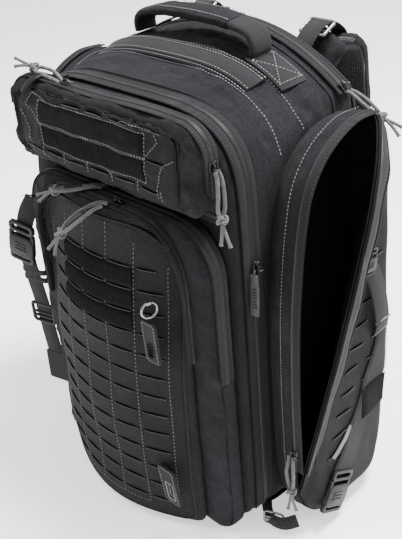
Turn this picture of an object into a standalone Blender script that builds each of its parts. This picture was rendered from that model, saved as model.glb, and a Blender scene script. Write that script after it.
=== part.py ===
"""Trauma backpack: a clamshell pack with two front pockets and two side pockets.

Metres, +Z up, -Y is the front that carries the pockets, +Y is the wearer's back, +X is the
right-hand side seen from the front. The origin is at the middle of the base, on the ground.
"""
import math

import bmesh
import bpy
import numpy as np
from mathutils import Matrix, Vector

# Driving dimensions
GAP = 0.0004
HALF_WIDTH = 0.165
FRONT_HALF_WIDTH = 0.160
BASE_TOP = 0.004
ZIP_PLANE_Y = -0.055
ZIP_TAPE_WIDTH = 0.014
SHELL_WALL = 0.004
DIVIDER_Y = 0.078
REAR_Y = 0.112
CROWN_RADIUS = 0.249
CROWN_CENTRE_Z = 0.291
FRONT_SPRING_Z = 0.360
FRONT_RISE = 0.147
FRONT_POWER = 4.5
PANEL_THICKNESS = 0.009
UPPER_POCKET = dict(half=0.147, low=0.418, high=0.507, corner=0.030)
UPPER_SPLIT_Y = -0.092
UPPER_FACE_Y = -0.108
LOWER_POCKET = dict(half=0.149, low=0.005, high=0.402, corner=0.055)
LOWER_MID_Y = -0.092
LOWER_FRONT_Y = -0.108
LOWER_FACE_Y = -0.150
FACE_CURVE = 2.4
FLAP_FOLD_Z = 0.240
MIDDLE_HINGE = (0.0, -0.0922, 0.005)
CLAMSHELL_HINGE = (0.0, -0.0550, 0.0044)
HANDLE_HINGE = (0.0, 0.050, 0.5290)
STRAP_HINGE_Y = 0.162
STRAP_HINGE_Z = 0.520
SIDE_RIM_X = 0.205
SIDE_FACE_X = 0.2160
DOOR_AXIS_X = 0.214
DOOR_AXIS_LOW = (-0.030, 0.110)
DOOR_AXIS_HIGH = (0.084, 0.475)
DOOR_OPEN_DEG = 41.2
CORD_DIAMETER = 0.004
WEBBING_38 = 0.038

COLOURS = {
    "cordura": ((0.055, 0.052, 0.060), 0.85, 0.0),
    "lining": ((0.010, 0.010, 0.011), 0.90, 0.0),
    "zip": ((0.030, 0.029, 0.032), 0.60, 0.0),
    "webbing": ((0.040, 0.038, 0.042), 0.80, 0.0),
    "hook_loop": ((0.012, 0.012, 0.014), 0.95, 0.0),
    "mesh_pad": ((0.030, 0.030, 0.033), 0.95, 0.0),
    "acetal": ((0.015, 0.015, 0.016), 0.45, 0.0),
    "steel": ((0.550, 0.550, 0.560), 0.35, 1.0),
    "aluminium": ((0.600, 0.600, 0.610), 0.40, 1.0),
    "polythene": ((0.020, 0.020, 0.022), 0.50, 0.0),
    "paracord": ((0.280, 0.280, 0.270), 0.75, 0.0),
}


def clear_scene():
    for old in list(bpy.data.objects):
        bpy.data.objects.remove(old, do_unlink=True)


def material(slot):
    found = bpy.data.materials.get(slot)
    if found:
        return found
    colour, rough, metallic = COLOURS[slot]
    made = bpy.data.materials.new(slot)
    made.use_nodes = True
    shader = made.node_tree.nodes["Principled BSDF"]
    shader.inputs["Base Color"].default_value = (*colour, 1.0)
    shader.inputs["Roughness"].default_value = rough
    shader.inputs["Metallic"].default_value = metallic
    made.diffuse_color = (*colour, 1.0)
    return made


def add_object(name, work, slot, origin=(0.0, 0.0, 0.0)):
    """Turns a bmesh in world coordinates into an object whose origin is at origin."""
    bmesh.ops.remove_doubles(work, verts=work.verts, dist=1e-6)
    bmesh.ops.recalc_face_normals(work, faces=work.faces)
    bmesh.ops.translate(work, verts=work.verts, vec=-Vector(origin))
    mesh = bpy.data.meshes.new(name)
    work.to_mesh(mesh)
    work.free()
    mesh.materials.append(material(slot))
    made = bpy.data.objects.new(name, mesh)
    made.location = origin
    bpy.context.scene.collection.objects.link(made)
    return made


def loft(name, rings, slot, origin=(0.0, 0.0, 0.0)):
    """A closed solid through rings that all have the same number of points."""
    work = bmesh.new()
    rows = [[work.verts.new(point) for point in ring] for ring in rings]
    count = len(rows[0])
    for here, there in zip(rows, rows[1:]):
        for i in range(count):
            k = (i + 1) % count
            work.faces.new((here[i], here[k], there[k], there[i]))
    work.faces.new(rows[0])
    work.faces.new(list(reversed(rows[-1])))
    return add_object(name, work, slot, origin)


def inset(points, distance):
    """The closed outline moved inwards by distance; outlines run anticlockwise."""
    outline = np.array(points, dtype=float)
    before = np.roll(outline, 1, axis=0)
    after = np.roll(outline, -1, axis=0)
    tangent = after - before
    tangent /= np.linalg.norm(tangent, axis=1)[:, None]
    inward = np.stack((-tangent[:, 1], tangent[:, 0]), axis=1)
    return outline + inward * distance


def at_y(outline, y):
    return [(x, y, z) for x, z in outline]


def at_x(outline, x):
    return [(x, y, z) for y, z in outline]


def arc_points(centre, radius, start_deg, end_deg, count):
    angles = np.radians(np.linspace(start_deg, end_deg, count))
    return [(centre[0] + radius[0] * math.cos(a), centre[1] + radius[1] * math.sin(a)) for a in angles]


def rounded_outline(half, low, high, top_corner, bottom_corner, count=5):
    """A rounded rectangle, symmetric about x = 0, anticlockwise from the bottom right corner."""
    right = arc_points((half - bottom_corner, low + bottom_corner), (bottom_corner,) * 2, -90, 0, count)
    right += arc_points((half - top_corner, high - top_corner), (top_corner,) * 2, 0, 90, count)
    left = [(-x, z) for x, z in reversed(right)]
    return right + left


def body_half(front_share):
    """Half of the pack's outline from the base to the crown; front_share is 1 at the zip plane."""
    side = HALF_WIDTH + (FRONT_HALF_WIDTH - HALF_WIDTH) * front_share
    low = [(0.080, BASE_TOP + GAP), (side - 0.022, BASE_TOP + GAP), (side - 0.006, 0.014), (side, 0.040)]
    sides = [(side, 0.150), (side, 0.260), (side, 0.350)]
    rise = []
    for share in np.linspace(0.0, 1.0, 9):
        turn = math.radians(8 + 82 * share)
        front_x = FRONT_HALF_WIDTH * math.cos(turn) ** (2 / FRONT_POWER)
        front_z = FRONT_SPRING_Z + FRONT_RISE * math.sin(turn) ** (2 / FRONT_POWER)
        lean = math.radians(40.5 * (1.0 - share) ** 0.85)
        rear_x = CROWN_RADIUS * math.sin(lean)
        rear_z = CROWN_CENTRE_Z + CROWN_RADIUS * math.cos(lean)
        rise.append((rear_x + (front_x - rear_x) * front_share, rear_z + (front_z - rear_z) * front_share))
    rise[-1] = (0.0, rise[-1][1])
    return low + sides + rise


def body_outline(y):
    """The pack's closed outline at depth y, anticlockwise seen from the front."""
    share = min(1.0, max(0.0, (DIVIDER_Y - y) / (DIVIDER_Y - ZIP_PLANE_Y)))
    half = body_half(share)
    left = [(-x, z) for x, z in reversed(half[:-1])]
    return half + left


def cup(name, outer_rings, inner_rings, slot, origin=(0.0, 0.0, 0.0)):
    """An open vessel: outer rings from its closed end to the rim, inner rings back down again."""
    return loft(name, list(outer_rings) + list(inner_rings), slot, origin)


def ribbon(name, path, across, thickness, slot, width, origin=(0.0, 0.0, 0.0)):
    """A flat strap of constant thickness along path; across is its width direction."""
    points = [Vector(p) for p in path]
    across = Vector(across).normalized()
    rings = []
    for i, point in enumerate(points):
        ahead = points[min(i + 1, len(points) - 1)] - points[max(i - 1, 0)]
        normal = ahead.cross(across).normalized() * (thickness / 2)
        reach = across * (width / 2)
        rings.append([point + reach + normal, point - reach + normal,
                      point - reach - normal, point + reach - normal])
    return loft(name, rings, slot, origin)


def band(name, path, y_low, y_high, thickness, slot, origin=(0.0, 0.0, 0.0)):
    """A zip tape: a strip that stands on edge along an open path in the XZ plane."""
    points = np.array(path, dtype=float)
    tangent = np.gradient(points, axis=0)
    tangent /= np.linalg.norm(tangent, axis=1)[:, None]
    outward = np.stack((tangent[:, 1], -tangent[:, 0]), axis=1)
    rings = []
    for point, normal in zip(points, outward):
        far = point + normal * thickness
        rings.append([(point[0], y_low, point[1]), (far[0], y_low, far[1]),
                      (far[0], y_high, far[1]), (point[0], y_high, point[1])])
    return loft(name, rings, slot, origin)


def block(name, low, high, slot, bevel=0.0, origin=(0.0, 0.0, 0.0)):
    """A box between two corners with softened edges."""
    work = bmesh.new()
    bmesh.ops.create_cube(work, size=1.0)
    size = [b - a for a, b in zip(low, high)]
    middle = [(a + b) / 2 for a, b in zip(low, high)]
    bmesh.ops.scale(work, verts=work.verts, vec=size)
    bmesh.ops.translate(work, verts=work.verts, vec=middle)
    if bevel:
        bmesh.ops.bevel(work, geom=work.edges[:], offset=bevel, segments=1, affect="EDGES")
    return add_object(name, work, slot, origin)


def cut_hole(target, name, low, high):
    """Cuts a box-shaped opening through target."""
    cutter = block(name, low, high, "lining")
    cutter.hide_render = True
    cutter.display_type = "WIRE"
    cutter.parent = target
    cutter.matrix_parent_inverse = Matrix.Translation(-target.location)
    hole = target.modifiers.new(name, "BOOLEAN")
    hole.operation = "DIFFERENCE"
    hole.object = cutter


def smooth_route(points, spacing):
    """Points every spacing along a Catmull-Rom curve through the route's own points."""
    knots = [Vector(p) for p in points]
    ends = [knots[0] * 2 - knots[1]] + knots + [knots[-1] * 2 - knots[-2]]
    fine = []
    for a, b, c, d in zip(ends, ends[1:], ends[2:], ends[3:]):
        for step in range(12):
            t = step / 12
            fine.append(0.5 * (2 * b + (c - a) * t + (2 * a - 5 * b + 4 * c - d) * t * t
                               + (3 * b - a - 3 * c + d) * t * t * t))
    fine.append(knots[-1])
    out = [fine[0]]
    walked = 0.0
    for here, there in zip(fine, fine[1:]):
        walked += (there - here).length
        if walked >= spacing:
            out.append(there)
            walked = 0.0
    if (out[-1] - fine[-1]).length > spacing / 2:
        out.append(fine[-1])
    else:
        out[-1] = fine[-1]
    return out


def cord(name, route):
    """A paracord loop as one tube along its route."""
    curve = bpy.data.curves.new(name, "CURVE")
    curve.dimensions = "3D"
    curve.bevel_depth = CORD_DIAMETER / 2
    curve.bevel_resolution = 2
    curve.use_fill_caps = True
    places = smooth_route(route, CORD_DIAMETER * 1.6)
    line = curve.splines.new("POLY")
    line.points.add(len(places) - 1)
    for point, place in zip(line.points, places):
        point.co = (*place, 1.0)
    curve.materials.append(material("paracord"))
    made = bpy.data.objects.new(name, curve)
    bpy.context.scene.collection.objects.link(made)
    return made


# ---------------------------------------------------------------- main bag and back

def front_path(extra, start_z):
    """The open path over the front opening from the right foot to the left foot."""
    right = [(FRONT_HALF_WIDTH, start_z), (FRONT_HALF_WIDTH, 0.150), (FRONT_HALF_WIDTH, 0.260)]
    right += [p for p in body_half(1.0) if p[1] > 0.340]
    points = np.array(right + [(-x, z) for x, z in reversed(right[:-1])])
    tangent = np.gradient(points, axis=0)
    tangent /= np.linalg.norm(tangent, axis=1)[:, None]
    return points + np.stack((tangent[:, 1], -tangent[:, 0]), axis=1) * extra


def build_shell():
    base = rounded_outline(0.150, -0.052, 0.104, 0.030, 0.030)
    ring = [[(x, y, z) for x, y in base] for z in (0.0, BASE_TOP)]
    loft("base_panel", ring, "cordura")
    rim_y = ZIP_PLANE_Y + ZIP_TAPE_WIDTH + GAP
    depths = (DIVIDER_Y, 0.040, 0.000, rim_y)
    outer = [at_y(body_outline(y), y) for y in depths]
    inner = [at_y(inset(body_outline(y), SHELL_WALL), y) for y in (rim_y, 0.000, 0.040)]
    floor = at_y(inset(body_outline(DIVIDER_Y), SHELL_WALL), DIVIDER_Y - SHELL_WALL)
    cup("main_bag", outer, inner + [floor], "cordura")
    tape = front_path(-0.0022, 0.030)
    band("main_zip_tape", tape, ZIP_PLANE_Y + GAP / 2, ZIP_PLANE_Y + ZIP_TAPE_WIDTH, 0.0022, "zip")


def build_rear():
    front_y = DIVIDER_Y + GAP
    outline = body_outline(REAR_Y)
    outer = [at_y(outline, front_y), at_y(outline, REAR_Y - 0.006), at_y(inset(outline, 0.004), REAR_Y)]
    inner = [at_y(inset(outline, 0.008), REAR_Y), at_y(inset(outline, 0.008), front_y + SHELL_WALL)]
    cup("rear_compartment", outer, inner, "cordura")
    sheet = rounded_outline(0.135, 0.030, 0.490, 0.070, 0.030)
    loft("frame_sheet", [at_y(sheet, REAR_Y - 0.0060), at_y(sheet, REAR_Y - 0.0040)], "polythene")
    stay = [(0.080, 0.050), (0.080, 0.300), (0.078, 0.400), (0.070, 0.440), (0.050, 0.462), (0.020, 0.470)]
    stay += [(-x, z) for x, z in reversed(stay)]
    band("frame_stay", stay, REAR_Y - 0.0190, REAR_Y - 0.0070, 0.003, "aluminium")
    skin = inset(outline, 0.003)
    loft("back_panel", [at_y(skin, REAR_Y + GAP), at_y(skin, REAR_Y + 0.004)], "cordura")
    for side, name in ((1, "back_pad_right"), (-1, "back_pad_left")):
        pad = rounded_outline(0.031, 0.190, 0.430, 0.022, 0.022, 4)
        placed = [(x + side * 0.044, z) for x, z in pad]
        rise = [
            at_y(placed, REAR_Y + 0.0044),
            at_y(placed, REAR_Y + 0.012),
            at_y(inset(placed, 0.006), REAR_Y + 0.017),
        ]
        loft(name, rise, "mesh_pad")
    lumbar = rounded_outline(0.115, 0.040, 0.165, 0.035, 0.035)
    rise = [
        at_y(lumbar, REAR_Y + 0.0044),
        at_y(lumbar, REAR_Y + 0.016),
        at_y(inset(lumbar, 0.008), REAR_Y + 0.024),
    ]
    loft("lumbar_pad", rise, "mesh_pad")


def crown_path(radius, lean_deg, count):
    return arc_points((0.0, CROWN_CENTRE_Z), (radius, radius), 90 - lean_deg, 90 + lean_deg, count)


def build_rear_zip():
    path = crown_path(CROWN_RADIUS + GAP, 39.5, 17)
    band("rear_zip_tape", path, 0.086, 0.104, 0.0020, "zip")
    lean = math.radians(38)
    radius = CROWN_RADIUS + 0.0062
    centre = Vector((radius * math.sin(lean), 0.095, CROWN_CENTRE_Z + radius * math.cos(lean)))
    slider = block("rear_zip_slider", (-0.006, -0.0045, -0.0032), (0.006, 0.0045, 0.0032), "acetal", 0.001)
    slider.location = centre
    slider.rotation_euler = (0.0, lean, 0.0)


def top_height(x, y):
    """Height of the pack's top surface at x, y."""
    outline = body_outline(y)
    half = sorted((px, pz) for px, pz in outline if pz > 0.44 and px >= -1e-9)
    return float(np.interp(abs(x), [p[0] for p in half], [p[1] for p in half]))


def top_strip(name, x_half, y_mid, width, lift, thickness, slot, count=9, x_mid=0.0):
    path = []
    for x in np.linspace(x_mid - x_half, x_mid + x_half, count):
        path.append((x, y_mid, top_height(x, y_mid) + lift))
    slope = (top_height(x_mid, y_mid + 0.01) - top_height(x_mid, y_mid - 0.01)) / 0.02
    ribbon(name, path, (0.0, 1.0, slope), thickness, slot, width)


def build_top():
    top_strip("top_zip_strip", 0.112, 0.011, 0.022, 0.0050, 0.003, "cordura", 13)
    for side, name in ((1, "handle_anchor_right"), (-1, "handle_anchor_left")):
        top_strip(name, 0.019, 0.050, WEBBING_38, 0.0042, 0.0026, "webbing", 5, side * 0.110)


def build_handle():
    route = [(0.087, 0.5285), (0.087, 0.5400), (0.078, 0.5505), (0.050, 0.5560), (0.015, 0.5580)]
    route += [(-x, z) for x, z in reversed(route)]
    path = [(x, HANDLE_HINGE[1], z) for x, z in route]
    ribbon("grab_handle", path, (0, 1, 0), 0.007, "webbing", 0.026, HANDLE_HINGE)


# ---------------------------------------------------------------- front panel and pockets

def build_front_panel():
    rim_back = ZIP_PLANE_Y - GAP / 2
    rim_front = ZIP_PLANE_Y - ZIP_TAPE_WIDTH
    tape = front_path(-0.0022, 0.030)
    band("panel_zip_tape", tape, rim_front + GAP, rim_back, 0.0022, "zip", CLAMSHELL_HINGE)
    outline = inset(body_outline(ZIP_PLANE_Y), 0.0028)
    face = rim_front - PANEL_THICKNESS
    rings = [at_y(outline, rim_back), at_y(outline, rim_front)]
    rings += [at_y(outline, rim_front - 0.002), at_y(inset(outline, 0.004), face)]
    loft("front_panel", rings, "cordura", CLAMSHELL_HINGE)
    return face


def pocket_outline(pocket, shrink, low=None):
    low = pocket["low"] if low is None else low
    corner = pocket["corner"]
    return rounded_outline(pocket["half"] - shrink, low, pocket["high"] - shrink, corner, 0.018)


def build_upper_pocket(face):
    ring = pocket_outline(UPPER_POCKET, 0.0)
    outer = [at_y(inset(ring, 0.006), face - GAP), at_y(ring, face - 0.006), at_y(ring, UPPER_SPLIT_Y)]
    inner = [at_y(inset(ring, 0.003), UPPER_SPLIT_Y), at_y(inset(ring, 0.008), face - 0.004)]
    cup("upper_pocket", outer, inner, "cordura", CLAMSHELL_HINGE)
    hinge = (0.0, UPPER_FACE_Y, UPPER_POCKET["low"])
    front = [at_y(ring, UPPER_SPLIT_Y - GAP), at_y(inset(ring, 0.002), UPPER_FACE_Y + 0.006)]
    front += [at_y(inset(ring, 0.009), UPPER_FACE_Y)]
    lid = [at_y(inset(ring, 0.003), UPPER_SPLIT_Y - GAP), at_y(inset(ring, 0.007), UPPER_FACE_Y + 0.004)]
    cup("upper_pocket_lid", list(reversed(front)), lid, "cordura", hinge)
    block("upper_loop_field", (-0.084, UPPER_FACE_Y - 0.0024, 0.444),
          (0.080, UPPER_FACE_Y - GAP, 0.492), "hook_loop", 0.0006, hinge)


def face_y(x, z):
    """Depth of the bulged front of the lower pocket."""
    lean = (z - 0.195) / 0.150
    return LOWER_FACE_Y + FACE_CURVE * x * x + 0.0097 * lean + 0.0070 * lean * lean


def curved_plate(name, half, low, high, top_corner, slot, origin, back_y, inner_wall):
    """A bulged tray: a curved front wall with side walls back to back_y, open behind."""
    work = bmesh.new()
    columns = 9
    rows = 7

    def grid(shrink, shift):
        points = []
        for row in range(rows):
            z = low + shrink + (high - low - 2 * shrink) * row / (rows - 1)
            over = max(0.0, z - (high - top_corner))
            reach = half - top_corner + math.sqrt(max(0.0, top_corner ** 2 - over ** 2)) - shrink
            xs = [reach * (2 * c / (columns - 1) - 1) for c in range(columns)]
            deepest = back_y - 0.009 + shift
            points.append([work.verts.new((x, min(face_y(x, z) + shift, deepest), z)) for x in xs])
        return points

    def rim(points):
        edge = list(points[0]) + [row[-1] for row in points[1:-1]]
        return edge + list(reversed(points[-1])) + [row[0] for row in reversed(points[1:-1])]

    def skin(points, flip):
        for lower, upper in zip(points, points[1:]):
            for c in range(columns - 1):
                quad = (lower[c], lower[c + 1], upper[c + 1], upper[c])
                work.faces.new(tuple(reversed(quad)) if flip else quad)

    outer = grid(0.0, 0.0)
    inner = grid(inner_wall, inner_wall)
    skin(outer, False)
    skin(inner, True)
    outer_rim = rim(outer)
    inner_rim = rim(inner)
    outer_back = [work.verts.new((v.co.x, back_y, v.co.z)) for v in outer_rim]
    inner_back = [work.verts.new((v.co.x, back_y, v.co.z)) for v in inner_rim]
    count = len(outer_rim)
    for i in range(count):
        k = (i + 1) % count
        work.faces.new((outer_rim[i], outer_back[i], outer_back[k], outer_rim[k]))
        work.faces.new((outer_back[i], inner_back[i], inner_back[k], outer_back[k]))
        work.faces.new((inner_back[i], inner_rim[i], inner_rim[k], inner_back[k]))
    return add_object(name, work, slot, origin)


def build_lower_pocket(face):
    ring = pocket_outline(LOWER_POCKET, 0.0)
    outer = [at_y(inset(ring, 0.004), face - GAP), at_y(ring, face - 0.005), at_y(ring, LOWER_MID_Y)]
    inner = [at_y(inset(ring, 0.003), LOWER_MID_Y), at_y(inset(ring, 0.007), face - 0.003)]
    cup("lower_pocket", outer, inner, "cordura", CLAMSHELL_HINGE)
    tray = pocket_outline(LOWER_POCKET, 0.003)
    outer = [at_y(inset(tray, 0.004), LOWER_FRONT_Y), at_y(tray, LOWER_FRONT_Y + 0.005)]
    outer += [at_y(tray, LOWER_MID_Y - GAP)]
    inner = [at_y(inset(tray, 0.003), LOWER_MID_Y - GAP), at_y(inset(tray, 0.007), LOWER_FRONT_Y + 0.003)]
    cup("lower_pocket_middle", outer, inner, "cordura", MIDDLE_HINGE)
    back_y = LOWER_FRONT_Y - GAP
    curved_plate("lower_pocket_boot", 0.114, 0.008, FLAP_FOLD_Z - GAP, 0.004, "cordura",
                 MIDDLE_HINGE, back_y, 0.003)
    hinge = (0.0, face_y(0.0, FLAP_FOLD_Z) - 0.0005, FLAP_FOLD_Z)
    curved_plate("lower_pocket_flap", 0.116, FLAP_FOLD_Z, 0.398, 0.060, "cordura", hinge, back_y, 0.003)
    return hinge


def curved_strip(name, x_low, x_high, z_low, z_high, lift, thickness, slot, origin, count=7):
    """A strip that lies on the bulged front of the lower pocket."""
    rings = []
    for x in np.linspace(x_low, x_high, count):
        ring = []
        for z, out in ((z_low, lift), (z_low, lift + thickness), (z_high, lift + thickness), (z_high, lift)):
            ring.append((x, face_y(x, z) - out, z))
        rings.append(ring)
    return loft(name, rings, slot, origin)


def build_face_fittings(hinge):
    curved_strip("lower_loop_field", -0.057, 0.057, 0.272, 0.343, 0.0022, 0.002, "hook_loop", hinge)
    x, z = 0.088, 0.296
    depth = face_y(x, z)
    path = [(x, depth - 0.0085, z), (x + 0.001, depth - 0.014, z - 0.016),
            (x - 0.002, depth - 0.018, z - 0.034), (x - 0.006, depth - 0.019, z - 0.052)]
    tab = ribbon("key_tab", path, (1, -0.25, 0), 0.0030, "webbing", 0.022, hinge)
    cut_hole(tab, "key_tab_hole", (x - 0.010, depth - 0.030, z - 0.046), (x + 0.002, depth, z - 0.026))
    x, z = 0.096, 0.102
    depth = face_y(x, z)
    path = [(x - 0.010, depth - 0.0070, z), (x - 0.006, depth - 0.013, z - 0.014),
            (x, depth - 0.015, z - 0.030), (x + 0.006, depth - 0.011, z - 0.050)]
    tab = ribbon("slot_tab", path, (1, 0.30, 0), 0.0030, "webbing", 0.026, MIDDLE_HINGE)
    cut_hole(tab, "slot_tab_hole", (x - 0.004, depth - 0.040, z - 0.042), (x + 0.008, depth, z - 0.022))


def build_ring(name, centre, axis, radius, wire, slot, origin):
    """A wire ring round axis."""
    work = bmesh.new()
    around = Vector(axis).normalized()
    first = around.orthogonal().normalized()
    second = around.cross(first)
    rows = []
    for i in range(12):
        turn = 2 * math.pi * i / 12
        out = first * math.cos(turn) + second * math.sin(turn)
        row = []
        for k in range(6):
            roll = 2 * math.pi * k / 6
            offset = out * (radius + wire * math.cos(roll)) + around * (wire * math.sin(roll))
            row.append(work.verts.new(Vector(centre) + offset))
        rows.append(row)
    for i in range(12):
        here, there = rows[i], rows[(i + 1) % 12]
        for k in range(6):
            n = (k + 1) % 6
            work.faces.new((here[k], here[n], there[n], there[k]))
    return add_object(name, work, slot, origin)


# ---------------------------------------------------------------- side pockets

RIM_CURVE = [(-0.047, 0.100), (-0.048, 0.140), (-0.049, 0.198), (-0.047, 0.287), (-0.042, 0.344),
             (-0.034, 0.396), (-0.022, 0.436), (0.004, 0.465), (0.042, 0.481), (0.078, 0.480)]
REST_CURVE = [(0.098, 0.462), (0.106, 0.430), (0.108, 0.300), (0.108, 0.120), (0.100, 0.040),
              (0.078, 0.014), (0.030, 0.010), (-0.012, 0.014), (-0.036, 0.036), (-0.045, 0.070)]


def side_outline(shrink):
    """The side pocket's closed outline in the YZ plane, moved inwards by shrink."""
    points = [(y, z) for y, z in reversed(RIM_CURVE + REST_CURVE)]
    return inset(points, shrink)


def mirror_points(rings, side):
    return [[(side * x, y, z) for x, y, z in ring] for ring in rings]


def split_line():
    low = np.array(DOOR_AXIS_LOW)
    high = np.array(DOOR_AXIS_HIGH)
    along = (high - low) / np.linalg.norm(high - low)
    across = np.array((-along[1], along[0]))
    return low, along, across


def clip_outline(points, keep_front, margin):
    """The part of an outline in front of the door's hinge line, or behind it."""
    low, along, across = split_line()
    sign = 1.0 if keep_front else -1.0
    heights = [sign * float(np.dot(np.array(p) - low, across)) - margin for p in points]
    out = []
    count = len(points)
    for i in range(count):
        k = (i + 1) % count
        here, there = np.array(points[i]), np.array(points[k])
        if heights[i] >= 0:
            out.append(tuple(here))
        if (heights[i] >= 0) != (heights[k] >= 0):
            share = heights[i] / (heights[i] - heights[k])
            out.append(tuple(here + (there - here) * share))
    return out


def scaled_outline(outline, share):
    """A convex outline scaled down by share about its own middle."""
    points = np.array(outline)
    middle = (points.max(axis=0) + points.min(axis=0)) / 2
    return middle + (points - middle) * (1.0 - share)


def cover_rings(outline, side, slope):
    """A shallow domed tray with its rim at the pocket's mouth; slope sets how fast it narrows."""
    mouth = SIDE_RIM_X + GAP
    outer = [(0.16, SIDE_FACE_X), (0.07, SIDE_FACE_X - 0.002), (0.01, mouth + 0.004), (0.0, mouth)]
    inner = [(0.03, mouth), (0.09, SIDE_FACE_X - 0.0055), (0.18, SIDE_FACE_X - 0.0030)]
    rings = [at_x(scaled_outline(outline, share * slope), x) for share, x in outer + inner]
    return mirror_points(rings, side)


def build_side(side, word, open_deg):
    outline = side_outline(0.0)
    base = side_outline(0.010)
    outer = [at_x(base, HALF_WIDTH + 0.0008), at_x(side_outline(0.004), 0.180), at_x(outline, SIDE_RIM_X)]
    inner = [at_x(inset(outline, 0.003), SIDE_RIM_X), at_x(side_outline(0.007), 0.180)]
    inner += [at_x(side_outline(0.014), HALF_WIDTH + 0.004)]
    cup("side_pocket_" + word, mirror_points(outer, side), mirror_points(inner, side), "cordura")
    fixed = clip_outline(outline, False, 0.0012)
    loft("side_cover_" + word, cover_rings(fixed, side, 1.0), "cordura")
    moving = clip_outline(outline, True, 0.0012)
    origin = (side * DOOR_AXIS_X, *DOOR_AXIS_LOW)
    door = loft("pocket_door_" + word, cover_rings(moving, side, 1.8), "cordura", origin)
    axis = Vector((0.0, DOOR_AXIS_HIGH[0] - DOOR_AXIS_LOW[0], DOOR_AXIS_HIGH[1] - DOOR_AXIS_LOW[1]))
    door.rotation_mode = "QUATERNION"
    door.rotation_quaternion = Matrix.Rotation(math.radians(side * open_deg), 3, axis).to_quaternion()


# ---------------------------------------------------------------- straps and hardware

def strap_path(side):
    """Centre line of a shoulder strap from its hinge down the back."""
    points = [(0.096, 0.164, 0.516), (0.099, 0.173, 0.498), (0.103, 0.176, 0.420),
              (0.106, 0.170, 0.320), (0.106, 0.158, 0.220), (0.097, 0.147, 0.140)]
    return [(side * x, y, z) for x, y, z in points]


def build_straps():
    yoke = [(0.070, REAR_Y + 0.0120, 0.452), (0.080, 0.132, 0.485),
            (0.089, 0.146, 0.510), (0.095, 0.159, 0.520)]
    for side, word in ((1, "right"), (-1, "left")):
        origin = (side * 0.096, STRAP_HINGE_Y, STRAP_HINGE_Z)
        path = [(side * x, y, z) for x, y, z in yoke]
        ribbon("strap_yoke_" + word, path, (1, 0, 0), 0.010, "cordura", 0.062)
        ribbon("shoulder_strap_" + word, strap_path(side), (1, 0, 0), 0.011, "mesh_pad", 0.064, origin)
        x = side * 0.096
        path = [(x, 0.1465, 0.1300), (x, 0.1455, 0.1150), (x, 0.1445, 0.1000)]
        ribbon("strap_adjuster_" + word, path, (1, 0, 0), 0.0050, "acetal", 0.034, origin)
        centre = Vector((side * 0.088, 0.141, 0.532))
        low = (-0.017, -0.012, -0.0020)
        high = (0.017, 0.012, 0.0020)
        lock = block("load_lifter_lock_" + word, low, high, "steel", 0.0008)
        lock.location = centre
        lock.rotation_euler = (math.radians(24), 0.0, 0.0)
        cut_hole(lock, "lock_window_" + word, (-0.0115, -0.0065, -0.010), (0.0115, 0.0050, 0.010))


def build_side_straps():
    """Compression webbing across each side pocket, with its side-release buckle half."""
    x = SIDE_FACE_X + 0.0025
    path = [(x, 0.092, 0.215), (x, 0.070, 0.165), (x, 0.040, 0.110), (x, 0.014, 0.066)]
    for side, word in ((1, "right"), (-1, "left")):
        placed = [(side * px, y, z) for px, y, z in path]
        ribbon("side_strap_" + word, placed, (0, 0.86, -0.50), 0.0030, "webbing", WEBBING_38)
        y, z = 0.0035, 0.044
        x_mid = side * (x + 0.003)
        low = (x_mid - 0.0045, y - 0.014, z - 0.012)
        high = (x_mid + 0.0045, y + 0.010, z + 0.012)
        block("side_buckle_" + word, low, high, "acetal", 0.0015)


def build_sliders():
    lid_x = UPPER_POCKET["half"] + 0.0004
    block("upper_zip_slider", (lid_x, UPPER_SPLIT_Y - 0.005, 0.464),
          (lid_x + 0.006, UPPER_SPLIT_Y + 0.005, 0.476), "acetal", 0.0012)
    zip_x = FRONT_HALF_WIDTH + 0.0006
    block("main_zip_slider", (zip_x, ZIP_PLANE_Y - 0.005, 0.345),
          (zip_x + 0.0060, ZIP_PLANE_Y + 0.005, 0.357), "acetal", 0.0012)
    middle = (zip_x + 0.0045, ZIP_PLANE_Y - 0.0070, 0.3500)
    path = [(middle[0] + 0.004, middle[1] - 0.0010, 0.3470), (middle[0] + 0.004, middle[1] - 0.002, 0.325),
            (middle[0] + 0.003, middle[1] - 0.002, 0.300)]
    ribbon("main_pull_tab", path, (0.5, 0.87, 0), 0.0028, "acetal", 0.010, middle)
    top = LOWER_POCKET["high"] + 0.0004
    block("lower_back_slider", (-0.010, LOWER_MID_Y - 0.005, top),
          (0.002, LOWER_MID_Y + 0.005, top + 0.0060), "acetal", 0.0012)
    front = LOWER_FRONT_Y
    block("lower_front_slider", (0.020, front - 0.006, 0.3995),
          (0.032, front + 0.004, 0.4055), "acetal", 0.0012)
    crest = UPPER_POCKET["high"] + 0.0004
    block("upper_top_slider", (-0.062, UPPER_SPLIT_Y - 0.005, crest),
          (-0.050, UPPER_SPLIT_Y + 0.005, crest + 0.006), "acetal", 0.0012)
    y = RIM_CURVE[1][0]
    x = SIDE_RIM_X + GAP
    block("side_zip_slider", (x - 0.006, y - 0.0076, 0.120),
          (x + 0.004, y - 0.0020, 0.132), "acetal", 0.0012)


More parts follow.
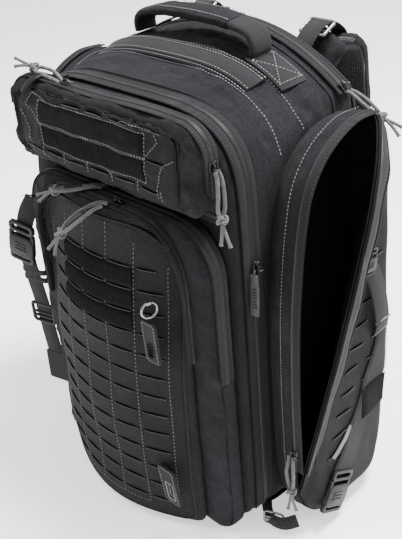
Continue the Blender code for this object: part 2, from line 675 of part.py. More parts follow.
# Cord loops: each starts at one side of its slider's eye and returns to the other side.
CORD_ROUTES = {
    "upper_pull_cord": [(0.1560, -0.0935, 0.4675), (0.1590, -0.0945, 0.4600), (0.1600, -0.0960, 0.4440),
                        (0.1590, -0.0965, 0.4280), (0.1590, -0.0925, 0.4220), (0.1600, -0.0885, 0.4280),
                        (0.1605, -0.0880, 0.4440), (0.1590, -0.0885, 0.4600), (0.1560, -0.0895, 0.4675)],
    "side_pull_cord": [(0.2020, -0.0580, 0.1270), (0.2030, -0.0605, 0.1200), (0.2010, -0.0620, 0.1050),
                       (0.2030, -0.0610, 0.0880), (0.2060, -0.0610, 0.0820), (0.2090, -0.0610, 0.0880),
                       (0.2110, -0.0620, 0.1050), (0.2090, -0.0600, 0.1200), (0.2080, -0.0580, 0.1270)],
    "rear_pull_cord": [(0.1660, 0.0920, 0.4890), (0.1720, 0.0915, 0.4880), (0.1850, 0.0900, 0.4820),
                       (0.1980, 0.0910, 0.4740), (0.2030, 0.0945, 0.4710), (0.1980, 0.0985, 0.4740),
                       (0.1850, 0.0990, 0.4820), (0.1720, 0.0980, 0.4880), (0.1660, 0.0975, 0.4890)],
    "lower_back_cord": [(-0.0120, -0.0945, 0.4070), (-0.0190, -0.0985, 0.4080), (-0.0330, -0.1080, 0.4060),
                        (-0.0480, -0.1200, 0.4050), (-0.0530, -0.1280, 0.4045), (-0.0470, -0.1300, 0.4050),
                        (-0.0330, -0.1180, 0.4060), (-0.0190, -0.1050, 0.4080), (-0.0120, -0.0990, 0.4070)],
    "lower_front_cord": [(0.0180, -0.1170, 0.4040), (0.0110, -0.1210, 0.4050), (0.0000, -0.1330, 0.4000),
                         (-0.0120, -0.1470, 0.3880), (-0.0150, -0.1560, 0.3780), (-0.0080, -0.1560, 0.3800),
                         (0.0020, -0.1460, 0.3900), (0.0120, -0.1310, 0.4010), (0.0180, -0.1240, 0.4040)],
    "upper_top_cord": [(-0.0640, -0.0900, 0.5110), (-0.0720, -0.0880, 0.5130), (-0.0880, -0.0840, 0.5160),
                       (-0.1040, -0.0860, 0.5180), (-0.1080, -0.0910, 0.5180), (-0.1040, -0.0960, 0.5170),
                       (-0.0880, -0.0960, 0.5150), (-0.0720, -0.0960, 0.5130), (-0.0640, -0.0955, 0.5110)],
}


def build_cords():
    for name, route in CORD_ROUTES.items():
        cord(name, route)


def main():
    clear_scene()
    build_shell()
    build_rear()
    build_rear_zip()
    build_top()
    build_handle()
    face = build_front_panel()
    build_upper_pocket(face)
    flap_hinge = build_lower_pocket(face)
    build_face_fittings(flap_hinge)
    ring_centre = (0.086, face_y(0.086, 0.303) - 0.012, 0.309)
    build_ring("snap_ring", ring_centre, (1, -0.3, 0), 0.009, 0.0014, "steel", flap_hinge)
    build_side(1, "right", DOOR_OPEN_DEG)
    build_side(-1, "left", 0.0)
    build_straps()
    build_side_straps()
    build_sliders()
    build_cords()


main()
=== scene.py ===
"""The looks of the trauma backpack: cloth, zips, webbing, cords and hardware round the CAD frame."""
import math

import bmesh
import bpy
import numpy as np
from mathutils import Matrix, Vector, noise
from mathutils.bvhtree import BVHTree


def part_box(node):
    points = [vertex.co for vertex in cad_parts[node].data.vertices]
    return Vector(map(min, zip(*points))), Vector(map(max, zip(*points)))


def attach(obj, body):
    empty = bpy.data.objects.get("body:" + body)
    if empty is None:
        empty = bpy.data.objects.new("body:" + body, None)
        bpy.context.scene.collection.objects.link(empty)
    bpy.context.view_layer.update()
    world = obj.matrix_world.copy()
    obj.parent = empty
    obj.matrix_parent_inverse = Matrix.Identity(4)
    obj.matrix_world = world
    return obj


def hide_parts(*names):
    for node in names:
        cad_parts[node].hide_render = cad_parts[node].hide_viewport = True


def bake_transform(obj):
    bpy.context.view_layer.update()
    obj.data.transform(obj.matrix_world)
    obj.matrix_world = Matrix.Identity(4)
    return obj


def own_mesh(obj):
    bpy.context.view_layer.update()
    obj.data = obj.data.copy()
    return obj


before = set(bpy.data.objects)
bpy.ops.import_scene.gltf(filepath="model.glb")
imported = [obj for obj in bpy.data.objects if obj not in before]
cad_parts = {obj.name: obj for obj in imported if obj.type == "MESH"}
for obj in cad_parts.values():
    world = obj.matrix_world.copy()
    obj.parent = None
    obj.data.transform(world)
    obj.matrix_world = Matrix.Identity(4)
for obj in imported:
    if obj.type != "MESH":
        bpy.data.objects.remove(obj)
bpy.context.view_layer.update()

# ------------------------------------------------------------------ places taken from the frame

DIVIDER_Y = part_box("rear_compartment")[0].y
REAR_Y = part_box("rear_compartment")[1].y
HALF_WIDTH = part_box("main_bag")[1].x
FOLD_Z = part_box("lower_pocket_flap")[0].z
SIDE_RIM_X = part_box("side_pocket_right")[1].x

# ------------------------------------------------------------------ sizes that repeat the CAD's

ZIP_Y = -0.055  # the plane in which the main zip closes
TAPE = 0.014  # width of one side of the main zip's tape
BASE_Z = 0.0046  # underside of the bag's cloth, above the base panel
FRONT_HALF_WIDTH = 0.160
CROWN_RADIUS = 0.249
CROWN_CENTRE_Z = 0.291
FRONT_SPRING_Z = 0.360  # where the front outline starts to curve in
FRONT_RISE = 0.147
FRONT_POWER = 4.5  # squareness of the front outline's shoulders
COLUMN = 0.0381  # spacing of the attachment grid's columns
ROW = 0.0254  # spacing of its rows
DOOR_AXIS_X = 0.214
DOOR_LOW = Vector((DOOR_AXIS_X, -0.030, 0.110))  # two points of the side door's fold line
DOOR_HIGH = Vector((DOOR_AXIS_X, 0.084, 0.475))
DOOR_OPEN = math.radians(41.2)  # how far the right door stands open at rest
CORD = 0.004  # diameter of the pull cords
SIDES = ((1, "right"), (-1, "left"))

# ------------------------------------------------------------------ camera, floor and light

LAMP_SIZE = 0.6
AIM_Z = 0.28  # height the lamps point at
WHITE = (1.0, 1.0, 1.0, 1.0)


def set_camera():
    """A 60 mm lens looking down at the pack's right front corner."""
    data = bpy.data.cameras.new("camera")
    data.sensor_width = 36.0
    data.lens = 60.07
    eye = bpy.data.objects.new("camera", data)
    right = Vector((0.70694359, 0.70317534, -0.07599475))
    up = Vector((-0.31258393, 0.40701558, 0.85827129))
    back = Vector((0.63444626, -0.58299465, 0.50753836))
    turn = Matrix((right, up, back)).transposed().to_4x4()
    eye.matrix_world = Matrix.Translation((0.6944, -0.6162, 0.8080)) @ turn
    bpy.context.scene.collection.objects.link(eye)
    bpy.context.scene.camera = eye


def add_light(name, place, watts):
    """A round area lamp that points at the middle of the pack."""
    data = bpy.data.lights.new(name, "AREA")
    data.shape = "DISK"
    data.size = LAMP_SIZE
    data.energy = watts
    lamp = bpy.data.objects.new(name, data)
    lamp.location = place
    aim = Vector((0.0, 0.0, AIM_Z)) - Vector(place)
    lamp.rotation_euler = aim.to_track_quat("-Z", "Y").to_euler()
    bpy.context.scene.collection.objects.link(lamp)


def set_stage():
    """A white floor under an even white sky, with a weak key lamp, a strong top lamp and a side lamp."""
    bpy.ops.mesh.primitive_plane_add(size=8.0, location=(0.0, 0.0, -0.0005))
    floor = bpy.context.object
    floor.name = "floor"
    paint = bpy.data.materials.new("floor")
    paint.use_nodes = True
    inputs = paint.node_tree.nodes["Principled BSDF"].inputs
    inputs["Base Color"].default_value = (0.92, 0.92, 0.92, 1.0)
    inputs["Roughness"].default_value = 0.9
    inputs["Emission Color"].default_value = WHITE
    inputs["Emission Strength"].default_value = 0.85
    floor.data.materials.append(paint)
    world = bpy.data.worlds.new("sky")
    world.use_nodes = True
    sky = world.node_tree.nodes["Background"].inputs
    sky["Color"].default_value = WHITE
    sky["Strength"].default_value = 0.95
    bpy.context.scene.world = world
    add_light("key", (-0.5, -1.1, 2.3), 30.0)
    add_light("top", (0.45, 0.5, 2.2), 150.0)
    add_light("side", (1.9, 0.5, 1.3), 22.0)


# ------------------------------------------------------------------ materials

SHADES = {}
WAVE_UNIT = 10.0 / 3.1831  # a wave texture's scale for bands one metre apart
BLACK = (0.0, 0.0, 0.0)


class Shade:
    """A small builder for one node material."""

    def __init__(self, name):
        self.made = bpy.data.materials.new(name)
        self.made.use_nodes = True
        self.tree = self.made.node_tree
        self.shader = self.tree.nodes["Principled BSDF"]
        self.place = self.tree.nodes.new("ShaderNodeTexCoord").outputs["Object"]
        SHADES[name] = self.made

    def node(self, kind, **settings):
        made = self.tree.nodes.new(kind)
        for key, value in settings.items():
            setattr(made, key, value)
        return made

    def link(self, source, target):
        self.tree.links.new(source, target)

    def noise(self, scale, detail=4.0, rough=0.55, source=None):
        made = self.node("ShaderNodeTexNoise")
        made.inputs["Scale"].default_value = scale
        made.inputs["Detail"].default_value = detail
        made.inputs["Roughness"].default_value = rough
        self.link(source or self.place, made.inputs["Vector"])
        return made.outputs["Fac"]

    def wave(self, scale, direction, distortion=0.0, source=None):
        made = self.node("ShaderNodeTexWave", bands_direction=direction)
        made.inputs["Scale"].default_value = scale
        made.inputs["Distortion"].default_value = distortion
        made.inputs["Detail"].default_value = 1.0
        made.inputs["Detail Scale"].default_value = 2.0
        self.link(source or self.place, made.inputs["Vector"])
        return made.outputs["Fac"]

    def math(self, kind, first, second, clamp=False):
        made = self.node("ShaderNodeMath", operation=kind, use_clamp=clamp)
        for slot, value in ((0, first), (1, second)):
            if isinstance(value, (int, float)):
                made.inputs[slot].default_value = value
            else:
                self.link(value, made.inputs[slot])
        return made.outputs[0]

    def ramp(self, source, stops):
        made = self.node("ShaderNodeValToRGB")
        band = made.color_ramp
        while len(band.elements) < len(stops):
            band.elements.new(0.5)
        for element, (at, colour) in zip(band.elements, stops):
            element.position = at
            element.color = (*colour, 1.0)
        self.link(source, made.inputs["Fac"])
        return made.outputs["Color"]

    def mix(self, share, first, second, blend="MIX"):
        made = self.node("ShaderNodeMix", data_type="RGBA", blend_type=blend)
        for slot, value in ((0, share), (6, first), (7, second)):
            if isinstance(value, (int, float)):
                made.inputs[slot].default_value = value
            elif isinstance(value, tuple):
                made.inputs[slot].default_value = (*value, 1.0)
            else:
                self.link(value, made.inputs[slot])
        return made.outputs[2]

    def bumps(self, layers):
        """Stacks bump nodes: each layer is (height, distance, strength)."""
        previous = None
        for height, distance, strength in layers:
            made = self.node("ShaderNodeBump")
            made.inputs["Distance"].default_value = distance
            made.inputs["Strength"].default_value = strength
            self.link(height, made.inputs["Height"])
            if previous is not None:
                self.link(previous, made.inputs["Normal"])
            previous = made.outputs["Normal"]
        self.link(previous, self.shader.inputs["Normal"])

    def finish(self, colour=None, rough=None, metallic=0.0, sheen=0.0, specular=0.5, coat=0.0):
        if isinstance(colour, tuple):
            self.shader.inputs["Base Color"].default_value = (*colour, 1.0)
        elif colour is not None:
            self.link(colour, self.shader.inputs["Base Color"])
        if isinstance(rough, (int, float)):
            self.shader.inputs["Roughness"].default_value = rough
        elif rough is not None:
            self.link(rough, self.shader.inputs["Roughness"])
        self.shader.inputs["Metallic"].default_value = metallic
        self.shader.inputs["Sheen Weight"].default_value = sheen
        self.shader.inputs["Sheen Roughness"].default_value = 0.5
        self.shader.inputs["Specular IOR Level"].default_value = specular
        self.shader.inputs["Coat Weight"].default_value = coat
        return self.made


def weave(shade, pitch):
    """Plain weave: threads across X, Y and Z, of which any face shows two."""
    threads = [shade.wave(WAVE_UNIT / pitch, axis, 0.6) for axis in ("X", "Y", "Z")]
    pair = shade.math("MULTIPLY", threads[0], threads[2])
    return shade.math("ADD", pair, shade.math("MULTIPLY", threads[1], 0.7))


def cloth(name, dark, light, pitch=0.0009, rough=0.86, sheen=0.12, slub=1.0):
    """Woven nylon: fine threads, a melange of fibre tones, soft wear and a faint crumple."""
    shade = Shade(name)
    broad = shade.noise(9.0, 5.0, 0.6)
    fine = shade.noise(420.0, 2.0, 0.7)
    tone = shade.ramp(broad, [(0.30, dark), (0.72, light)])
    fleck = shade.ramp(fine, [(0.36, (0.32, 0.32, 0.33)), (0.66, (1.75, 1.75, 1.76))])
    colour = shade.mix(0.75, tone, fleck, "MULTIPLY")
    dust = shade.ramp(shade.noise(26.0, 6.0, 0.65), [(0.55, BLACK), (0.80, (0.014, 0.0135, 0.0148))])
    colour = shade.mix(0.6, colour, dust, "ADD")
    threads = weave(shade, pitch)
    roughness = shade.math("ADD", shade.math("MULTIPLY", fine, 0.16), rough - 0.08, True)
    crumple = shade.noise(38.0, 5.0, 0.6)
    shade.bumps([(crumple, 0.005, 0.5 * slub), (shade.noise(170.0, 4.0), 0.0012, 0.6 * slub),
                 (threads, 0.0004, 0.55)])
    return shade.finish(colour, roughness, 0.0, sheen, 0.11)


def ribbed(name, dark, light, axis, pitch, rough=0.75, depth=0.0006, sheen=0.1):
    """Webbing or tape with ribs along one object axis."""
    shade = Shade(name)
    ribs = shade.wave(WAVE_UNIT / pitch / 10.0, axis, 0.3)
    colour = shade.mix(ribs, dark, light)
    fleck = shade.ramp(shade.noise(300.0, 3.0, 0.7), [(0.3, (0.65, 0.65, 0.66)), (0.75, (1.3, 1.3, 1.3))])
    colour = shade.mix(0.7, colour, fleck, "MULTIPLY")
    threads = weave(shade, 0.0011)
    shade.bumps([(ribs, depth, 0.6), (threads, 0.0003, 0.5), (shade.noise(60.0, 3.0), 0.0012, 0.3)])
    return shade.finish(colour, rough, 0.0, sheen, 0.14)


def pile(name, dark, light):
    """Loop pile: a dense mat of tiny curls."""
    shade = Shade(name)
    cells = shade.node("ShaderNodeTexVoronoi", feature="F1")
    cells.inputs["Scale"].default_value = 900.0
    shade.link(shade.place, cells.inputs["Vector"])
    curl = cells.outputs["Distance"]
    patch = shade.noise(120.0, 4.0, 0.7)
    colour = shade.mix(shade.math("MULTIPLY", curl, patch), dark, light)
    shade.bumps([(patch, 0.0012, 0.5), (curl, 0.0010, 0.9)])
    return shade.finish(colour, 0.95, 0.0, 0.02, 0.05)


def moulded(name, colour, rough=0.42, specular=0.5):
    """Injection-moulded acetal: a fine spark-eroded grain, scuffed a little."""
    shade = Shade(name)
    grain = shade.noise(900.0, 2.0, 0.6)
    scuff = shade.noise(70.0, 6.0, 0.7)
    tone = shade.mix(shade.ramp(scuff, [(0.55, BLACK), (0.8, (1.0, 1.0, 1.0))]), colour,
                     tuple(min(1.0, c * 2.4 + 0.01) for c in colour))
    roughness = shade.math("ADD", shade.math("MULTIPLY", scuff, 0.25), rough - 0.1, True)
    shade.bumps([(grain, 0.0002, 0.25), (scuff, 0.0004, 0.15)])
    return shade.finish(tone, roughness, 0.0, 0.0, specular)


def metal(name, dark, light, rough=0.35):
    """Plated wire and die-cast pieces with fine scratches."""
    shade = Shade(name)
    scratch = shade.noise(240.0, 6.0, 0.8)
    colour = shade.mix(scratch, dark, light)
    roughness = shade.math("ADD", shade.math("MULTIPLY", scratch, 0.3), rough - 0.15, True)
    shade.bumps([(scratch, 0.0002, 0.3)])
    return shade.finish(colour, roughness, 1.0, 0.0, 0.5)


def braid(name, dark, light):
    """Braided cord sheath: crossing yarn bundles that follow the tube's own length."""
    shade = Shade(name)
    uv = shade.node("ShaderNodeTexCoord").outputs["UV"]
    split = shade.node("ShaderNodeSeparateXYZ")
    shade.link(uv, split.inputs[0])
    around, along = split.outputs[0], split.outputs[1]
    turn = shade.math("MULTIPLY", around, 8 * math.pi)
    run = shade.math("MULTIPLY", along, 2 * math.pi / 0.0034)
    first = shade.math("SINE", shade.math("ADD", turn, run), 0.0)
    second = shade.math("SINE", shade.math("SUBTRACT", turn, run), 0.0)
    yarn = shade.math("MAXIMUM", first, second)
    height = shade.math("ADD", shade.math("MULTIPLY", yarn, 0.5), 0.5)
    colour = shade.mix(height, dark, light)
    fuzz = shade.ramp(shade.noise(700.0, 3.0, 0.7), [(0.3, (0.7, 0.7, 0.7)), (0.75, (1.25, 1.25, 1.25))])
    colour = shade.mix(0.7, colour, fuzz, "MULTIPLY")
    shade.bumps([(height, 0.0005, 0.9), (shade.noise(900.0, 2.0), 0.0002, 0.5)])
    return shade.finish(colour, 0.85, 0.0, 0.25, 0.2)


def knit(name, dark, light):
    """Spacer mesh: small round holes in a knitted face."""
    shade = Shade(name)
    cells = shade.node("ShaderNodeTexVoronoi", feature="F1")
    cells.inputs["Scale"].default_value = 330.0
    cells.inputs["Randomness"].default_value = 0.25
    shade.link(shade.place, cells.inputs["Vector"])
    hole = shade.ramp(cells.outputs["Distance"], [(0.18, BLACK), (0.42, (1.0, 1.0, 1.0))])
    colour = shade.mix(hole, dark, light)
    shade.bumps([(shade.noise(40.0, 3.0), 0.002, 0.3), (hole, 0.0012, 0.9)])
    return shade.finish(colour, 0.92, 0.0, 0.3, 0.15)


def make_materials():
    """Every shade the pieces name: cloths, webbings, threads, cord, moulded parts and metals."""
    cloth("cloth", (0.0062, 0.0057, 0.0070), (0.0135, 0.0125, 0.0150), sheen=0.02)
    cloth("cloth_laminate", (0.0055, 0.0051, 0.0062), (0.0105, 0.0098, 0.0117), 0.0009, 0.74, 0.01, 0.6)
    cloth("cloth_shadow", (0.006, 0.006, 0.007), (0.010, 0.010, 0.011), 0.0012, 0.92, 0.0)
    cloth("lining", (0.0035, 0.0035, 0.004), (0.0065, 0.0065, 0.007), 0.0014, 0.9, 0.0)
    ribbed("tape", (0.0052, 0.0050, 0.0058), (0.0120, 0.0114, 0.0130), "Z", 0.0022, 0.72, 0.0003, 0.03)
    for axis in "XYZ":
        ribbed("webbing_" + axis.lower(), (0.0060, 0.0057, 0.0066), (0.0165, 0.0157, 0.0180), axis, 0.0020,
               sheen=0.04)
    pile("pile", (0.0016, 0.0016, 0.0018), (0.0150, 0.0150, 0.0160))
    moulded("acetal", (0.0042, 0.0042, 0.0046), 0.48, 0.22)
    moulded("coil", (0.017, 0.0165, 0.019), 0.45, 0.4)
    moulded("rubber", (0.022, 0.022, 0.024), 0.6, 0.3)
    moulded("thread_light", (0.13, 0.13, 0.135), 0.8, 0.2)
    moulded("thread_dark", (0.028, 0.027, 0.031), 0.8, 0.2)
    # A light grey for the slot lips: a painted highlight where the cut laminate catches the light.
    moulded("slot_lip_highlight", (0.060, 0.058, 0.066), 0.7, 0.3)
    metal("steel", (0.11, 0.11, 0.115), (0.27, 0.27, 0.28))
    metal("black_metal", (0.020, 0.020, 0.021), (0.060, 0.060, 0.062), 0.4)
    metal("aluminium", (0.55, 0.55, 0.56), (0.72, 0.72, 0.73), 0.4)
    moulded("polythene", (0.02, 0.02, 0.022), 0.45)
    braid("paracord", (0.026, 0.026, 0.025), (0.105, 0.105, 0.10))
    knit("knit", (0.002, 0.002, 0.002), (0.018, 0.0175, 0.0195))


# ------------------------------------------------------------------ mesh helpers


def put(name, verts, faces, shade, smooth=True, uvs=None):
    """A mesh object with one material; uvs is a point's own (u, v)."""
    mesh = bpy.data.meshes.new(name)
    mesh.from_pydata([tuple(v) for v in verts], [], faces)
    mesh.materials.append(SHADES[shade])
    if smooth:
        mesh.shade_smooth()
    if uvs is not None:
        layer = mesh.uv_layers.new(name="UVMap")
        for loop in mesh.loops:
            layer.data[loop.index].uv = uvs[loop.vertex_index]
    mesh.update()
    made = bpy.data.objects.new(name, mesh)
    bpy.context.scene.collection.objects.link(made)
    return made


def sheet_faces(rows, columns, close_columns=False):
    """The faces of a grid of points, its columns closed into rings if asked."""
    faces = []
    last = columns if close_columns else columns - 1
    for r in range(rows - 1):
        for c in range(last):
            k = (c + 1) % columns
            faces.append((r * columns + c, r * columns + k, (r + 1) * columns + k, (r + 1) * columns + c))
    return faces


def bake(obj):
    """Applies the piece's modifiers."""
    graph = bpy.context.evaluated_depsgraph_get()
    fresh = bpy.data.meshes.new_from_object(obj.evaluated_get(graph))
    obj.modifiers.clear()
    obj.data = fresh


def solidify(obj, thickness, offset=-1.0):
    """Gives a sheet its thickness; offset -1 thickens inwards and 0 to both sides."""
    made = obj.modifiers.new("thickness", "SOLIDIFY")
    made.thickness = thickness
    made.offset = offset
    made.use_even_offset = True
    bake(obj)


def subdivide(obj):
    """Smooths a piece by one level of subdivision."""
    made = obj.modifiers.new("smooth", "SUBSURF")
    made.levels = 1
    made.render_levels = 1
    bake(obj)


def resample(points, spacing):
    """Points at even spacing along a polyline, its ends kept."""
    places = np.array([tuple(p) for p in points], dtype=float)
    steps = np.linalg.norm(np.diff(places, axis=0), axis=1)
    run = np.concatenate(([0.0], np.cumsum(steps)))
    count = max(2, int(round(run[-1] / spacing)) + 1)
    at = np.linspace(0.0, run[-1], count)
    return np.stack([np.interp(at, run, places[:, i]) for i in range(3)], axis=1)


def spline(points, spacing, closed=False):
    """An evenly sampled Catmull-Rom curve through points."""
    knots = np.array([tuple(p) for p in points], dtype=float)
    if closed:
        ends = np.vstack((knots[-1:], knots, knots[:2]))
    else:
        ends = np.vstack((2 * knots[0] - knots[1], knots, 2 * knots[-1] - knots[-2]))
    fine = []
    for a, b, c, d in zip(ends, ends[1:], ends[2:], ends[3:]):
        for t in np.arange(12) / 12:
            fine.append(0.5 * (2 * b + (c - a) * t + (2 * a - 5 * b + 4 * c - d) * t * t
                               + (3 * b - a - 3 * c + d) * t * t * t))
    fine.append(ends[-2])
    return resample(fine, spacing)


def frames_along(points, normals):
    """Tangent, across and outward directions at each point of a path."""
    places = np.array(points, dtype=float)
    tangent = np.gradient(places, axis=0)
    tangent /= np.linalg.norm(tangent, axis=1)[:, None] + 1e-12
    outward = np.array(normals, dtype=float)
    if outward.ndim == 1:
        outward = np.tile(outward, (len(places), 1))
    outward = outward - tangent * np.sum(outward * tangent, axis=1)[:, None]
    outward /= np.linalg.norm(outward, axis=1)[:, None] + 1e-12
    across = np.cross(tangent, outward)
    return places, tangent, across, outward


def mirrored(path, side):
    """A path of the right side, put on the left for side -1."""
    return [(side * x, y, z) for x, y, z in path]


def spread_normals(normals, count):
    """One normal for all points, or a list of normals stretched to count points."""
    given = np.array(normals, dtype=float)
    if given.ndim == 1:
        return given
    source, target = np.linspace(0.0, 1.0, len(given)), np.linspace(0.0, 1.0, count)
    return np.stack([np.interp(target, source, given[:, i]) for i in range(3)], axis=1)


def turned_up(points, axis):
    """Normals of a path that runs in a plane across X, all leaning to the positive side of an axis."""
    normals = np.cross(np.array([1.0, 0.0, 0.0]), np.gradient(points, axis=0))
    return normals * np.sign(normals[:, axis:axis + 1] + 1e-9)


def close_ends(faces, rows, sides):
    """Caps both ends of a tube of faces."""
    return faces + [tuple(reversed(range(sides))), tuple(range((rows - 1) * sides, rows * sides))]


def strap(name, points, normals, width, thickness, shade, lift=0.0, widths=None):
    """Webbing along a path: a rounded section that lies on the side its normals leave."""
    places, _, across, outward = frames_along(points, normals)
    half = np.full(len(places), width / 2) if widths is None else np.array(widths) / 2
    edge = min(thickness * 0.45, 0.0008)
    verts, uvs = [], []
    run = 0.0
    for i, place in enumerate(places):
        if i:
            run += float(np.linalg.norm(place - places[i - 1]))
        w = half[i]
        section = [(-w + edge, 0.0), (w - edge, 0.0), (w, edge), (w, thickness - edge),
                   (w - edge, thickness), (-w + edge, thickness), (-w, thickness - edge), (-w, edge)]
        for a, b in section:
            verts.append(place + across[i] * a + outward[i] * (b + lift))
            uvs.append((a, run))
    rows = len(places)
    made = put(name, verts, close_ends(sheet_faces(rows, 8, True), rows, 8), shade, True, uvs)
    made.data.set_sharp_from_angle(angle=math.radians(50))
    return made


def tube(name, points, radius, shade, sides=12, radii=None):
    """A round cord with closed ends; its UVs run around it and along it in metres."""
    places = np.array(points, dtype=float)
    tangent = np.gradient(places, axis=0)
    tangent /= np.linalg.norm(tangent, axis=1)[:, None] + 1e-12
    side = Vector(tangent[0]).orthogonal().normalized()
    verts, uvs = [], []
    run = 0.0
    for i, place in enumerate(places):
        if i:
            run += float(np.linalg.norm(place - places[i - 1]))
        ahead = Vector(tangent[i])
        side = (side - ahead * side.dot(ahead)).normalized()
        other = ahead.cross(side)
        reach = radius if radii is None else radii[i]
        for k in range(sides):
            turn = 2 * math.pi * k / sides
            verts.append(Vector(place) + (side * math.cos(turn) + other * math.sin(turn)) * reach)
            uvs.append((k / sides, run))
    rows = len(places)
    made = put(name, verts, close_ends(sheet_faces(rows, sides, True), rows, sides), shade, True, uvs)
    made.data.set_sharp_from_angle(angle=math.radians(60))
    return made


def merge(name, pieces):
    """Joins several loose meshes of one material into one piece."""
    verts, faces, uvs = [], [], []
    has_uv = True
    for piece in pieces:
        start = len(verts)
        verts.extend(tuple(piece.matrix_world @ v.co) for v in piece.data.vertices)
        faces.extend(tuple(start + i for i in p.vertices) for p in piece.data.polygons)
        layer = piece.data.uv_layers.active
        if layer is None:
            has_uv = False
            continue
        own = [(0.0, 0.0)] * len(piece.data.vertices)
        for loop in piece.data.loops:
            own[loop.vertex_index] = tuple(layer.data[loop.index].uv)
        uvs.extend(own)
    used = pieces[0].data.materials[0]
    shade = next(key for key, made in SHADES.items() if made == used)
    for piece in pieces:
        bpy.data.objects.remove(piece)
    made = put(name, verts, faces, shade, True, uvs if has_uv else None)
    made.data.set_sharp_from_angle(angle=math.radians(50))
    return made


STITCH_SECTION = [(-0.5, -0.30), (0.5, -0.30), (0.5, 0.55), (-0.5, 0.55)]
STITCH_STEP = 0.001  # spacing of the points a seam is walked along
STITCH_LIFT = 0.0002
COIL_STEP = 0.0005
COIL_PITCH = 0.0017
COIL_REACH = 0.0026
COIL_HEIGHT = 0.0016


def stitches(name, paths, shade="thread_light", pitch=0.0042, length=0.0027, width=0.0009):
    """Rows of thread: paths is a list of (points, normals)."""
    verts, faces = [], []
    for points, normals in paths:
        fine = resample(points, STITCH_STEP)
        places, tangent, across, outward = frames_along(fine, spread_normals(normals, len(fine)))
        step = max(1, int(round(pitch / STITCH_STEP)))
        for i in range(step // 2, len(places), step):
            start = len(verts)
            for share, size in ((-0.5, 0.35), (-0.28, 1.0), (0.28, 1.0), (0.5, 0.35)):
                centre = places[i] + tangent[i] * (share * length) + outward[i] * STITCH_LIFT
                for a, b in STITCH_SECTION:
                    verts.append(centre + across[i] * (a * width * size) + outward[i] * (b * width * size))
            for r in range(3):
                for c in range(4):
                    k = (c + 1) % 4
                    faces.append((start + r * 4 + c, start + r * 4 + k,
                                  start + (r + 1) * 4 + k, start + (r + 1) * 4 + c))
            faces.append((start + 3, start + 2, start + 1, start))
            faces.append((start + 12, start + 13, start + 14, start + 15))
    return put(name, verts, faces, shade)


def teeth(name, points, normals, side):
    """The coil of one zip tape: small ridges across the path, shifted sideways by side."""
    fine = resample(points, COIL_STEP)
    places, tangent, across, outward = frames_along(fine, spread_normals(normals, len(fine)))
    step = max(1, int(round(COIL_PITCH / COIL_STEP)))
    verts, faces = [], []
    half = COIL_PITCH * 0.30
    for i in range(0, len(places), step):
        centre = places[i] + across[i] * side
        start = len(verts)
        for a, h in ((-1.0, 0.15), (-0.55, 1.0), (0.55, 1.0), (1.0, 0.15)):
            for t in (-half, half):
                verts.append(centre + across[i] * (a * COIL_REACH / 2) + tangent[i] * t
                             + outward[i] * (h * COIL_HEIGHT))
        for a in (-1.0, 1.0):
            for t in (-half, half):
                verts.append(centre + across[i] * (a * COIL_REACH / 2) + tangent[i] * t - outward[i] * 0.0002)
        b = start
        faces += [(b, b + 2, b + 3, b + 1), (b + 2, b + 4, b + 5, b + 3), (b + 4, b + 6, b + 7, b + 5),
                  (b + 8, b, b + 1, b + 9), (b + 6, b + 10, b + 11, b + 7),
                  (b + 8, b + 10, b + 6, b + 4, b + 2, b), (b + 1, b + 3, b + 5, b + 7, b + 11, b + 9),
                  (b + 9, b + 11, b + 10, b + 8)]
    return put(name, verts, faces, "coil", False)


def smoothstep(value, low, high):
    """0 below low, 1 above high and a soft step between them."""
    share = np.clip((np.asarray(value, dtype=float) - low) / (high - low), 0.0, 1.0)
    return share * share * (3 - 2 * share)


def ease(value, low, high):
    """The same for one number."""
    return float(smoothstep(value, low, high))


def ride(piece, body, slot=None, *nodes):
    """Rides on a body and stands for CAD nodes; slot is not used."""
    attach(piece, body)
    if nodes:
        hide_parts(*nodes)
    return piece


# ------------------------------------------------------------------ outlines shared with the frame


def arc(centre, radii, start, end, count):
    """Points of an elliptic arc between two angles in degrees."""
    turns = np.radians(np.linspace(start, end, count))
    return [(centre[0] + radii[0] * math.cos(t), centre[1] + radii[1] * math.sin(t)) for t in turns]


def outward_of(outline):
    """Unit normals of a closed anticlockwise outline."""
    ahead = np.roll(outline, -1, axis=0) - np.roll(outline, 1, axis=0)
    ahead /= np.linalg.norm(ahead, axis=1)[:, None] + 1e-12
    return np.stack((ahead[:, 1], -ahead[:, 0]), axis=1)


def soften(outline, passes):
    """Rounds a closed outline's corners."""
    for _ in range(passes):
        outline = 0.5 * outline + 0.25 * (np.roll(outline, 1, axis=0) + np.roll(outline, -1, axis=0))
    return outline


